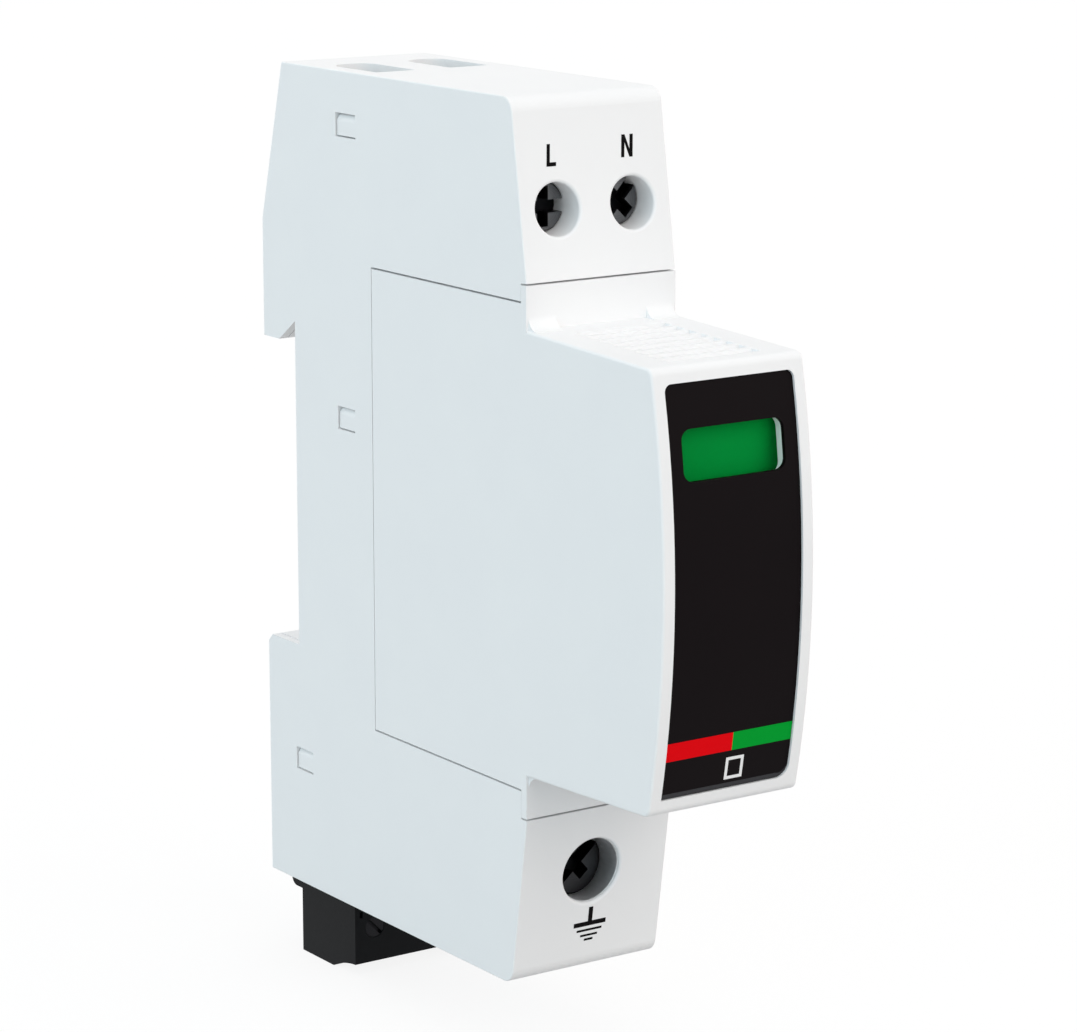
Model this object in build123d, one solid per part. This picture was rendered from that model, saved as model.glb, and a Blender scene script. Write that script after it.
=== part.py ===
from build123d import *
import os
from math import sqrt
from types import SimpleNamespace

# Plug-in surge protector, one module wide, for a 35 mm top-hat rail.
# Frame: the origin is on the rail's mounting plane, at the rail's centre line and mid width.
# +X is to the right of someone facing the front, +Z is up, and the front faces -Y.
# "Depth" is the distance forward of the rail plane, so depth = -Y. All sizes are in millimetres.

# ---- Outside of the base ---------------------------------------------------------------------
BODY_WIDTH = 18.0            # one module of the enclosure pitch
BODY_HEIGHT = 90.0
FRONT_DEPTH = 43.7           # flat front between the terminal blocks
TERMINAL_SLOPE = 2.7         # how far each terminal front leans back at its outer end
REAR_REACH = 6.45            # hook and foot, behind the rail plane
TOP_REAR_DEPTH = -2.0
LEAN_HEIGHT = 17.1           # from the top down to where the rear edge turns vertical
BODY_ROUND = 1.7             # top and bottom front corners
EDGE_ROUND = 0.3             # long outer edges of the module's nose
BASE_EDGE_ROUND = 0.15       # the same, of the base
WALL = 1.4
SIDE_WALL = 1.1

RAIL_HEIGHT = 35.0
RAIL_THICKNESS = 1.0
RAIL_TOP_GAP = 0.05
RAIL_FOOT_GAP = 0.5
HOOK_TIP_DEPTH = -3.3
HOOK_DROP = 2.35             # from the rail slot's root down to the hook's tip
FOOT_CHAMFER = 0.8

UPPER_CATCH_DROP = 5.6       # cover catches: places and sizes
MIDDLE_CATCH_DROP = 16.6
LOWER_CATCH_RISE = 1.65
UPPER_CATCH_DEPTHS = (8.7, 12.6)
MIDDLE_CATCH_DEPTHS = (8.6, 12.0)
LOWER_CATCH_DEPTHS = (-0.85, 2.6)
CATCH_HALF = 1.25
CATCH_GAP = 0.15
CATCH_ROUND = 0.8
CATCH_POST = 2.0
COVER_SEAM = 0.15            # groove between cover and housing round the rail

# ---- Outside of the plug-in module -------------------------------------------------------------
MODULE_REAR = 15.5
MODULE_TOP = 25.1
MODULE_BOTTOM = -24.0
FLANGE_THICKNESS = 0.9
FLANGE_HALF = 26.9
SEAM = 0.2                   # gap above and below the module
BAY_GAP = 0.12               # gap behind the module
FLANGE_SEAT = 0.03           # flange clear of its seat
NOSE_ROOT_HALF = 22.5
NOSE_DRAFT = 0.8             # the nose is this much lower at its front edge, on each side
NOSE_DEPTH = 64.1            # upper and lower front edges
NOSE_BULGE = 2.3             # crown of the front beyond those edges
NOSE_ROUND = 0.9
NOSE_ROOT_ROUND = 1.3
HOOD_WALL = 1.2
HOOD_SIDE_WALL = 1.0

GRIP_WIDTH = 10.9
GRIP_START = 46.8
GRIP_PITCH = 2.0
GRIP_COUNT = 8
GRIP_LENGTH = 1.3
GRIP_CUT = 0.35

LABEL_WIDTH = 15.3
LABEL_HALF = 20.15
LABEL_POCKET = 0.7
LABEL_THICKNESS = 0.45
LABEL_ROUND = 0.8
LABEL_LOW_ROUND = 1.4
LABEL_GAP = 0.04
WINDOW_WIDTH = 12.1
WINDOW_BOTTOM = 10.8
WINDOW_TOP = 15.8
WINDOW_ROUND = 1.1
WINDOW_SILL = 0.5            # hood's opening below the label's
FRONT_SKIN = 0.8             # wall left under the label pocket
LENS_THICKNESS = 0.4
LENS_MARGIN = 0.8

# ---- Mains terminals ---------------------------------------------------------------------------
LINE_X = -4.5
NEUTRAL_X = 4.5
EARTH_X = -0.2
SCREW_FROM_END = 11.1        # screw axis, in from the body's top
EARTH_FROM_END = 10.95       # the same, from the bottom
BUSBAR_THICKNESS = 1.2
BUSBAR_DEPTH = 3.2
CAGE_GAP = 0.15
SCREW_TIP_GAP = 0.05
THREAD_GAP = 0.02            # screw in its clamp, radially
HEAD_GAP = 0.09              # screw in its plastic hole, radially
NUT_GAP = 0.3
MOUTH_ROUND = 0.3
SLOT_CUT = 1.7
RECESS_ARM = 2.0             # reach of the recess's closed arm
SCREW_CHAMFER = 0.2
CAGE_ROUND = 0.5
LINE_SLOT_ANGLE = 0
NEUTRAL_SLOT_ANGLE = -47
EARTH_SLOT_ANGLE = -41

# upper terminals
SMALL_HEAD_RADIUS = 2.53
SMALL_HEAD_HEIGHT = 3.0
SMALL_SHANK_RADIUS = 2.0
SMALL_HEAD_SINK = 2.7
SMALL_SLOT = 1.3
SMALL_CAGE_INNER = 4.9
SMALL_CAGE_SHEET = 0.8
SMALL_CAGE_NUT = 1.8
SMALL_CAGE_LENGTH = 7.4
SMALL_CAGE_REAR = 3.2
SMALL_TONGUE_DEPTH = 13.4
SMALL_TONGUE_WIDTH = 4.5
SMALL_PITCH = 0.7
SMALL_TURNS = 12
FUNNEL_WIDTH = 4.75
FUNNEL_DEPTHS = (4.0, 13.4)
FUNNEL_ROUND = 2.0
FUNNEL_LENGTH = 6.8
FUNNEL_WALLS = (2.5, 3.0)    # plastic behind and in front of the funnels

# earth terminal
LARGE_HEAD_RADIUS = 3.4
LARGE_HEAD_HEIGHT = 3.0
LARGE_SHANK_RADIUS = 2.5
LARGE_HEAD_SINK = 3.3
LARGE_SLOT = 1.4
LARGE_CAGE_INNER = 6.2
LARGE_CAGE_SHEET = 0.9
LARGE_CAGE_NUT = 2.0
LARGE_CAGE_LENGTH = 8.0
LARGE_CAGE_REAR = 11.2
LARGE_TONGUE_DEPTH = 21.4
LARGE_TONGUE_WIDTH = 5.8
LARGE_PITCH = 0.8
LARGE_TURNS = 10
EARTH_FUNNEL_WIDTH = 6.0
EARTH_FUNNEL_DEPTHS = (12.2, 21.3)
EARTH_FUNNEL_WALLS = (2.0, 2.0)

GUIDE_SIDE = 1.2             # plastic left above and below the access holes
PARTITION = 1.0

# ---- Plug-in contacts ---------------------------------------------------------------------------
BLADE_THICKNESS = 0.8
BLADE_WIDTH = 7.0
BLADE_TIP_DEPTH = 6.0
BLADE_POINT = 1.0
BLADE_ROOT = 3.0             # blade forward of the carrier
MAINS_BLADE_Z = 14.0
EARTH_BLADE_Z = -14.0
JAW_GAP = 0.03
JAW_LEAF = 0.6
JAW_WIDTH = 6.0
JAW_BACK = 1.0
JAW_STRAIGHT = 7.2
JAW_FLARE = 1.1
JAW_FLARE_OPEN = 0.6
BLADE_SLOT_GAP = 0.25

# ---- Rail latch ----------------------------------------------------------------------------------
LATCH_HALF = 3.9
LATCH_GAP = 0.12
LATCH_PLATE = 1.4
LATCH_WING = 0.7
LATCH_WING_THICKNESS = 0.7
LATCH_HEAD = 3.0
LATCH_TAB = 2.4
LATCH_BITE = 1.2
LATCH_TRAVEL = 3.0
LATCH_HEAD_FRONT = 2.3
LATCH_LEAD_IN = 0.4
LATCH_SLOPE_DROP = 0.3
LATCH_EYE = (0.7, 1.8)       # screwdriver eye, below the body's bottom
LATCH_EYE_HALF = 2.0
LATCH_INNER_WALL = 1.2
SPRING_RADIUS = 1.5
SPRING_WIRE = 0.25
SPRING_LENGTH = 10.0
SPRING_TURNS = 6
SPRING_AXIS_DEPTH = 0.4
SHELF = 1.4

# ---- Remote signalling: switch, header, plug -------------------------------------------------------
PLUG_PITCH = 5.08
POLES = (-PLUG_PITCH, 0.0, PLUG_PITCH)
PLUG_WIDTH = 3 * PLUG_PITCH
PLUG_REAR = -2.35
PLUG_FRONT = 8.67
PLUG_HEIGHT = 8.5
PLUG_STEP = 1.3
PLUG_STEP_DEPTH = 4.1
PLUG_LIP = 2.2
PLUG_LIP_HEIGHT = 1.35
PLUG_LIP_ROUND = 1.0
PLUG_NOTCH = (0.6, 1.0)      # small notch in the front, in from the plug's left side
PLUG_NOTCH_DROP = (1.3, 2.05)
PLUG_NOTCH_CUT = 0.4
PLUG_SCOOP_BULGE = 0.25
PLUG_DROP_GAP = 0.2
HEADER_DEPTHS = (-1.2, 8.1)
HEADER_WALL = 0.8
HEADER_HEIGHT = 9.0
HEADER_ROOF = 1.2
PLUG_SLIDE_GAP = 0.1
PIN_SIZE = 1.0
PIN_DEPTH = 3.4
PIN_TAIL = 1.6
SIGNAL_SCREW_DROP = 3.3      # screw axis below the plug's top face
SIGNAL_SCREW_RADIUS = 1.15
SIGNAL_SHANK_RADIUS = 0.9
SIGNAL_CAGE_OUTER = 3.7
SIGNAL_CAGE_SHEET = 0.45
SIGNAL_CAGE_NUT = 0.9
SIGNAL_CAGE_LENGTH = 3.4
SIGNAL_CAGE_REAR = -0.9
SIGNAL_TONGUE_DEPTH = 2.5
SIGNAL_TONGUE = 0.5
SIGNAL_HEAD_LENGTH = 1.7
SIGNAL_SLOT = 0.4
SIGNAL_SLOT_ANGLE = 45
SIGNAL_WALL_GAP = 0.12
SOCKET_LEAF = 0.55
SOCKET_GAP = 0.04
SOCKET_HALF = 1.0
SIGNAL_PITCH = 0.4
SIGNAL_TURNS = 5
SWITCH_X = PLUG_PITCH
SWITCH_WIDTH = 5.0
SWITCH_HALF_LENGTH = 6.4
SWITCH_HEIGHT = 6.5          # from its rear face to the bay floor
SWITCH_PIN_Z = 5.1
SWITCH_PIN_LENGTH = 2.4
SWITCH_PIN_THICKNESS = 0.6
SWITCH_PIN_REACH = 1.0
SWITCH_PIN_MARGIN = 0.1
BUTTON_Z = -2.0
BUTTON_RADIUS = 0.6
BUTTON_WIDTH = 2.0
BUTTON_TOP = 16.8
BUTTON_TRAVEL = 0.8
BUTTON_STEM = 1.6            # button inside the switch, below the bay floor
LEAD_RADIUS = 0.4
LEAD_BEND = 1.2
MIDDLE_LEAD_X = 3.8
LEAD_RISE = 1.8              # middle lead above its pin, before it jogs aside
LEAD_JOG = 3.8

# ---- Inside the module ------------------------------------------------------------------------------
CARRIER_THICKNESS = 2.0
VARISTOR_HEIGHT = 32.0
VARISTOR_THICKNESS = 4.8
VARISTOR_REAR = 27.0
VARISTOR_GAP = 2.1           # behind the fault plate
VARISTOR_CORNER = 3.6
VARISTOR_ROUND = 1.2
TUBE_RADIUS = 3.6
TUBE_LENGTH = 12.2
TUBE_X = -3.6
TUBE_DEPTH = 22.2
TUBE_CAP = 1.2
TUBE_CAP_STEP = 0.25
STRAP = 0.8
STRAP_HALF = 2.0             # strap either side of the tube's axis
STRAP_SHORT = 1.2            # strap's end, short of the tube's front
JOGGLE_START = 5.2           # line blade's joggle, behind the varistor
JOGGLE_END = 2.0
JOGGLE_EASE = 0.4
LANDING_LENGTH = 13.0
STRAP_CLEARANCE = 0.6        # straps forward of the carrier, clear of the slider's ramp
TRIP_TRAVEL = 6.6
TRIP_ARM_X = (6.3, 7.7)
TRIP_ARM_Z = (9.0, 12.0)
FLAG_THICKNESS = 0.8
FLAG_GAP = 0.3
FLAG_MARGIN = 0.8            # flag above and below the window
FAULT_THICKNESS = 0.7
FAULT_MARGIN = 0.8           # fault plate above and below the flag
FLAG_SIDE_GAP = 1.4
ARM_GAP = 0.2
SEAT_MARGIN = 0.1
RAMP_WIDTH = 3.7
ARM_DEPTH = 3.0              # the slider's rear post, forward of the carrier
TONGUE_REACH = 10.8
TONGUE_LEAF = 0.5
TONGUE_PIVOT_DEPTH = 25.2
TONGUE_Z = (-2.0, 4.1)
SOLDER_TAB = 0.2
SOLDER_TAB_LENGTH = 5.0
SOLDER_TAB_Z = (-1.0, 3.0)
TRIP_SPRING_DEPTH = 45.6
RIB = 1.0
RIB_INSET = 7.5              # ribs from the varistor's front and rear
RIB_STAGGER = 3.0
LEFT_RIB_Z = (-14.0, 8.0)
RIGHT_RIB_Z = (-14.0, -5.0)

# ---- Building ---------------------------------------------------------------------------------------------
OVER = 1.0                   # cuts run past the faces they open
TOLERANCE = 0.001

# ---- Derived places -----------------------------------------------------------------------------------
HALF = BODY_WIDTH / 2
TOP = BODY_HEIGHT / 2
BOTTOM = -TOP
REAR = -REAR_REACH
INNER = HALF - SIDE_WALL
SLOT_TOP = RAIL_HEIGHT / 2 + RAIL_TOP_GAP
LEDGE = -RAIL_HEIGHT / 2 - RAIL_FOOT_GAP
FLANGE_REAR = FRONT_DEPTH - FLANGE_THICKNESS
UPPER_SCREW_Z = TOP - SCREW_FROM_END
LOWER_SCREW_Z = BOTTOM + EARTH_FROM_END
BAY_FLOOR = MODULE_REAR - BAY_GAP
BAY_INNER = BAY_FLOOR - WALL
BUSBAR_FRONT = BUSBAR_DEPTH + BUSBAR_THICKNESS
NOSE_FRONT_HALF = NOSE_ROOT_HALF - NOSE_DRAFT
NOSE_RADIUS = (NOSE_FRONT_HALF ** 2 + NOSE_BULGE ** 2) / (2 * NOSE_BULGE)
NOSE_CROWN = NOSE_DEPTH + NOSE_BULGE


# ---- Shared shapes ------------------------------------------------------------------------------------
def block(x, depth, z):
    """Box between a low and a high value across X, in depth and in height."""
    size = Box(x[1] - x[0], depth[1] - depth[0], z[1] - z[0])
    return Pos((x[0] + x[1]) / 2, -(depth[0] + depth[1]) / 2, (z[0] + z[1]) / 2) * size


def slab(face, x_low, x_high):
    """Side-view face, drawn as (depth, height), given the thickness from x_low to x_high."""
    side = Plane(origin=(x_high, 0, 0), x_dir=(0, -1, 0), z_dir=(-1, 0, 0))
    return extrude(side * face, amount=x_high - x_low)


def post(face, z_low, z_high):
    """Plan-view face, drawn as (x, -depth), given the height from z_low to z_high."""
    return extrude(Pos(0, 0, z_low) * face, amount=z_high - z_low)


def rod(x, z, depths, radius):
    """Round bar along the depth."""
    front = Plane(origin=(x, -depths[0], z), x_dir=(1, 0, 0), z_dir=(0, -1, 0))
    return extrude(front * Circle(radius), amount=depths[1] - depths[0])


def drawn(*points):
    return make_face(Polyline(*points, close=True))


def rounded(face, *corners):
    """Face with the corner nearest to each point rounded to its radius."""
    for point, radius in corners:
        corner = face.vertices().sort_by_distance(Vector(*point, 0))[0]
        face = fillet(corner, radius)
    return face


def crown(sink):
    """Round bar that bounds the nose's front, sunk by the given amount."""
    bar = Cylinder(NOSE_RADIUS - sink, BODY_WIDTH * 2, rotation=(0, 90, 0))
    return Pos(0, NOSE_RADIUS - NOSE_CROWN, 0) * bar


def front_depth(z):
    """Depth of the slanted terminal front at a height."""
    lean = (abs(z) - FLANGE_HALF) / (TOP - FLANGE_HALF)
    return FRONT_DEPTH - TERMINAL_SLOPE * lean


def spring(x, depth, z_low, length, turns):
    """Compression spring along Z with its lower end at z_low."""
    middle = SPRING_RADIUS - SPRING_WIRE
    rise = length - 2 * SPRING_WIRE
    path = Helix(pitch=rise / turns, height=rise, radius=middle)
    start = path @ 0
    wire = Plane(origin=start, z_dir=path % 0) * Circle(SPRING_WIRE)
    coil = sweep(wire, path=path)
    return Pos(x, -depth, z_low + SPRING_WIRE) * coil


# ---- Base outlines -----------------------------------------------------------------------------------
def base_outline():
    upper_seam = FLANGE_HALF + SEAM
    step = FLANGE_REAR - FLANGE_SEAT
    face = drawn(
        (TOP_REAR_DEPTH, TOP),
        (front_depth(TOP), TOP),
        (FRONT_DEPTH, upper_seam),
        (step, upper_seam),
        (step, MODULE_TOP + SEAM),
        (BAY_FLOOR, MODULE_TOP + SEAM),
        (BAY_FLOOR, MODULE_BOTTOM - SEAM),
        (step, MODULE_BOTTOM - SEAM),
        (step, -upper_seam),
        (FRONT_DEPTH, -upper_seam),
        (front_depth(BOTTOM), BOTTOM),
        (REAR, BOTTOM),
        (REAR, LEDGE - FOOT_CHAMFER),
        (REAR + FOOT_CHAMFER, LEDGE),
        (0, LEDGE),
        (0, SLOT_TOP),
        (HOOK_TIP_DEPTH, SLOT_TOP - HOOK_DROP),
        (REAR, SLOT_TOP - HOOK_DROP),
        (REAR, TOP - LEAN_HEIGHT),
    )
    return rounded(face, ((front_depth(TOP), TOP), BODY_ROUND), ((front_depth(BOTTOM), BOTTOM), BODY_ROUND))


BASE_FACE = base_outline()
BASE_HOLLOW = offset(BASE_FACE, amount=-WALL, kind=Kind.INTERSECTION)


# ---- The three mains terminals ---------------------------------------------------------------------------
def terminal(x, z, size):
    """Places of one lift-clamp terminal, from its axis and its set of sizes."""
    place = SimpleNamespace(x=x, z=z, **size)
    place.travel = place.pitch * place.turns
    place.access = place.head_radius + HEAD_GAP
    place.head_face = front_depth(z) - place.sink
    place.head_rear = place.head_face - place.head_height
    place.tongue_front = place.tongue_depth + BUSBAR_THICKNESS
    place.tip = place.tongue_front + SCREW_TIP_GAP
    place.nut_rear = place.tongue_front + NUT_GAP
    place.nut_front = place.nut_rear + place.nut
    place.guide_rear = place.nut_front + place.travel + NUT_GAP
    return place


SMALL = dict(
    head_radius=SMALL_HEAD_RADIUS, head_height=SMALL_HEAD_HEIGHT, shank_radius=SMALL_SHANK_RADIUS,
    sink=SMALL_HEAD_SINK, slot=SMALL_SLOT, inner=SMALL_CAGE_INNER, sheet=SMALL_CAGE_SHEET,
    nut=SMALL_CAGE_NUT, length=SMALL_CAGE_LENGTH, cage_rear=SMALL_CAGE_REAR,
    tongue_depth=SMALL_TONGUE_DEPTH, tongue_width=SMALL_TONGUE_WIDTH, pitch=SMALL_PITCH, turns=SMALL_TURNS,
)
LARGE = dict(
    head_radius=LARGE_HEAD_RADIUS, head_height=LARGE_HEAD_HEIGHT, shank_radius=LARGE_SHANK_RADIUS,
    sink=LARGE_HEAD_SINK, slot=LARGE_SLOT, inner=LARGE_CAGE_INNER, sheet=LARGE_CAGE_SHEET,
    nut=LARGE_CAGE_NUT, length=LARGE_CAGE_LENGTH, cage_rear=LARGE_CAGE_REAR,
    tongue_depth=LARGE_TONGUE_DEPTH, tongue_width=LARGE_TONGUE_WIDTH, pitch=LARGE_PITCH, turns=LARGE_TURNS,
)
LINE = terminal(LINE_X, UPPER_SCREW_Z, SMALL)
NEUTRAL = terminal(NEUTRAL_X, UPPER_SCREW_Z, SMALL)
EARTH = terminal(EARTH_X, LOWER_SCREW_Z, LARGE)
UPPER_STEP = MODULE_TOP + SEAM + WALL
LOWER_STEP = MODULE_BOTTOM - SEAM - WALL
UPPER_TONGUE_END = UPPER_SCREW_Z + SMALL_CAGE_LENGTH / 2
LOWER_TONGUE_END = LOWER_SCREW_Z - LARGE_CAGE_LENGTH / 2


def terminal_screw(place, slot_angle):
    """Long cheese-head screw with a combined recess, a slot crossed by a closed arm."""
    body = rod(place.x, place.z, (place.tip, place.head_rear), place.shank_radius)
    body += rod(place.x, place.z, (place.head_rear, place.head_face), place.head_radius)
    rim = body.edges().filter_by(GeomType.CIRCLE).sort_by(Axis.Y)[0]
    body = chamfer(rim, SCREW_CHAMFER)
    length = 2 * place.head_radius + OVER
    arms = Box(length, SLOT_CUT, place.slot) + Box(place.slot, SLOT_CUT, 2 * RECESS_ARM)
    return body - Pos(place.x, -(place.head_face - SLOT_CUT / 2), place.z) * Rot(0, slot_angle, 0) * arms


def terminal_clamp(place):
    """Folded steel cage: the wire side is drawn up to the tongue by the threaded front wall."""
    half = place.inner / 2 + place.sheet
    heights = (place.z - place.length / 2, place.z + place.length / 2)
    cage = block((place.x - half, place.x + half), (place.cage_rear, place.nut_front), heights)
    cage = fillet(cage.edges().filter_by(Axis.Z), CAGE_ROUND)
    inside = place.inner / 2
    cage -= block((place.x - inside, place.x + inside), (place.cage_rear + place.sheet, place.nut_rear),
                  (heights[0] - OVER, heights[1] + OVER))
    bore = (place.nut_rear - OVER, place.nut_front + OVER)
    return cage - rod(place.x, place.z, bore, place.shank_radius + THREAD_GAP)


def busbar(place, far_end, step, tail_end):
    """Copper strip: tongue in the clamp, a step over the bay wall, and a tail behind the jaw."""
    over = step + BUSBAR_THICKNESS if far_end > step else step - BUSBAR_THICKNESS
    face = drawn(
        (place.tongue_front, far_end),
        (place.tongue_depth, far_end),
        (place.tongue_depth, over),
        (BUSBAR_DEPTH, over),
        (BUSBAR_DEPTH, tail_end),
        (BUSBAR_FRONT, tail_end),
        (BUSBAR_FRONT, step),
        (place.tongue_front, step),
    )
    return slab(face, place.x - place.tongue_width / 2, place.x + place.tongue_width / 2)


def jaw(x, z):
    """Sprung fork that grips a module blade between two flared leaves."""
    gap = BLADE_THICKNESS / 2 + JAW_GAP
    back = BUSBAR_FRONT + JAW_BACK
    straight = back + JAW_STRAIGHT
    mouth = straight + JAW_FLARE
    half = (
        (0, BUSBAR_FRONT), (gap + JAW_LEAF, BUSBAR_FRONT), (gap + JAW_LEAF, straight),
        (gap + JAW_LEAF + JAW_FLARE_OPEN, mouth), (gap + JAW_FLARE_OPEN, mouth), (gap, straight), (gap, back),
    )
    right = [(x + across, -depth) for across, depth in half]
    left = [(x - across, -depth) for across, depth in reversed(half[1:])]
    return post(drawn(*right, *left), z - JAW_WIDTH / 2, z + JAW_WIDTH / 2)


# ---- Places inside the base -------------------------------------------------------------------------
FUNNEL_FLOOR = TOP - FUNNEL_LENGTH
EARTH_FUNNEL_FLOOR = BOTTOM + FUNNEL_LENGTH
LATCH_HEAD_TOP = LEDGE - WALL - LATCH_GAP
LATCH_HEAD_FOOT = LATCH_HEAD_TOP - LATCH_HEAD
LATCH_REAR = REAR + LATCH_GAP
LATCH_FRONT = LATCH_REAR + LATCH_PLATE
TRACK_WALL = LATCH_FRONT + LATCH_GAP
SHELF_TOP = LATCH_HEAD_FOOT - SPRING_LENGTH
HEADER_TOP = BOTTOM + HEADER_HEIGHT
UPPER_CATCH_Z = TOP - UPPER_CATCH_DROP
MIDDLE_CATCH_Z = MODULE_TOP - MIDDLE_CATCH_DROP
LOWER_CATCH_Z = SHELF_TOP + LOWER_CATCH_RISE
WINDOW_UPPER = (UPPER_CATCH_DEPTHS, (UPPER_CATCH_Z - CATCH_HALF, UPPER_CATCH_Z + CATCH_HALF))
WINDOW_MIDDLE = (MIDDLE_CATCH_DEPTHS, (MIDDLE_CATCH_Z - CATCH_HALF, MIDDLE_CATCH_Z + CATCH_HALF))
WINDOW_LOWER = (LOWER_CATCH_DEPTHS, (LOWER_CATCH_Z - CATCH_HALF, LOWER_CATCH_Z + CATCH_HALF))


# ---- Base pieces --------------------------------------------------------------------------------------
def soft_edges(body, x):
    """Round the outer edges of the front, top and bottom at one side."""
    chosen = []
    for edge in body.edges():
        middle = edge.center()
        on_side = abs(middle.X - x) < TOLERANCE
        past_bay = abs(middle.Z) > FLANGE_HALF + SEAM + TOLERANCE
        in_front = -middle.Y > front_depth(TOP) - 2 * BODY_ROUND
        at_end = abs(middle.Z) > TOP - BODY_ROUND
        if on_side and past_bay and (in_front or at_end):
            chosen.append(edge)
    return fillet(chosen, BASE_EDGE_ROUND)


def catch(window):
    """Snap catch that fills a cover window, with its upper outer edge rounded over."""
    depths, heights = window
    body = block(
        (-HALF + CATCH_GAP, -INNER),
        (depths[0] + CATCH_GAP, depths[1] - CATCH_GAP),
        (heights[0] + CATCH_GAP, heights[1] - CATCH_GAP),
    )
    edge = body.edges().filter_by(Axis.Y).sort_by(Axis.X)[0:2].sort_by(Axis.Z)[-1]
    return fillet(edge, CATCH_ROUND)


def funnel(x, width, depths, z_low, z_high):
    """Wire entry: square towards the front, round towards the rail."""
    low, high = x - width / 2, x + width / 2
    face = drawn((low, -depths[0]), (high, -depths[0]), (high, -depths[1]), (low, -depths[1]))
    face = rounded(face, ((low, -depths[0]), FUNNEL_ROUND), ((high, -depths[0]), FUNNEL_ROUND))
    return post(face, z_low, z_high)


def access_hole(place):
    """Stepped screw hole: the head's bore to the front, and a narrower guide behind it."""
    hole = rod(place.x, place.z, (place.head_rear - CAGE_GAP, FRONT_DEPTH + OVER), place.access)
    return hole + rod(place.x, place.z, (place.guide_rear - OVER, FRONT_DEPTH), place.shank_radius + HEAD_GAP)


def mouth_edges(solid, place):
    """The rim where a screw hole opens on the slanted front."""
    middle = Vector(place.x, -front_depth(place.z), place.z)
    return [edge for edge in solid.edges() if (edge.center(CenterOf.BOUNDING_BOX) - middle).length < HEAD_GAP]


def guide_block(place):
    """Plastic round a screw, from behind its head to the front."""
    reach = place.access + GUIDE_SIDE
    return block((-INNER, INNER), (place.guide_rear, FRONT_DEPTH), (place.z - reach, place.z + reach))


def blade_slots(slot_low, slot_high, gap):
    """Openings for the three blades through a wall between two depths."""
    half_x = BLADE_THICKNESS / 2 + gap
    half_z = BLADE_WIDTH / 2 + gap
    openings = Part()
    for x, z in ((LINE_X, MAINS_BLADE_Z), (NEUTRAL_X, MAINS_BLADE_Z), (EARTH_X, EARTH_BLADE_Z)):
        openings += block((x - half_x, x + half_x), (slot_low, slot_high), (z - half_z, z + half_z))
    return openings


def base_fill():
    """Plastic inside the base's shell: funnels, screw guides, partition, latch track, shelf, catch posts."""
    span = (-INNER, INNER)
    rear = FUNNEL_DEPTHS[0] - FUNNEL_WALLS[0]
    fill = block(span, (rear, FUNNEL_DEPTHS[1] + FUNNEL_WALLS[1]), (FUNNEL_FLOOR, TOP - WALL / 2))
    fill += block((-PARTITION / 2, PARTITION / 2), (rear, LINE.guide_rear + WALL / 2),
                  (UPPER_STEP, TOP - WALL / 2))
    rear = EARTH_FUNNEL_DEPTHS[0] - EARTH_FUNNEL_WALLS[0]
    fill += block(span, (rear, EARTH_FUNNEL_DEPTHS[1] + EARTH_FUNNEL_WALLS[1]),
                  (BOTTOM + WALL / 2, EARTH_FUNNEL_FLOOR))
    fill += guide_block(LINE) + guide_block(EARTH)
    fill += block(span, (TRACK_WALL, TRACK_WALL + LATCH_INNER_WALL), (BOTTOM + WALL / 2, LEDGE - WALL / 2))
    fill += block(span, (TRACK_WALL, LATCH_HEAD_FRONT + LATCH_GAP), (SHELF_TOP - SHELF, SHELF_TOP))
    fill += block(span, *WINDOW_MIDDLE)
    depths, heights = WINDOW_LOWER
    fill += block((-INNER, -INNER + CATCH_POST), (depths[0] + CATCH_GAP, LATCH_HEAD_FRONT + LATCH_GAP),
                  (SHELF_TOP - SHELF, heights[1] - CATCH_GAP))
    return fill & slab(BASE_FACE, -INNER, HALF)


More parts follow.
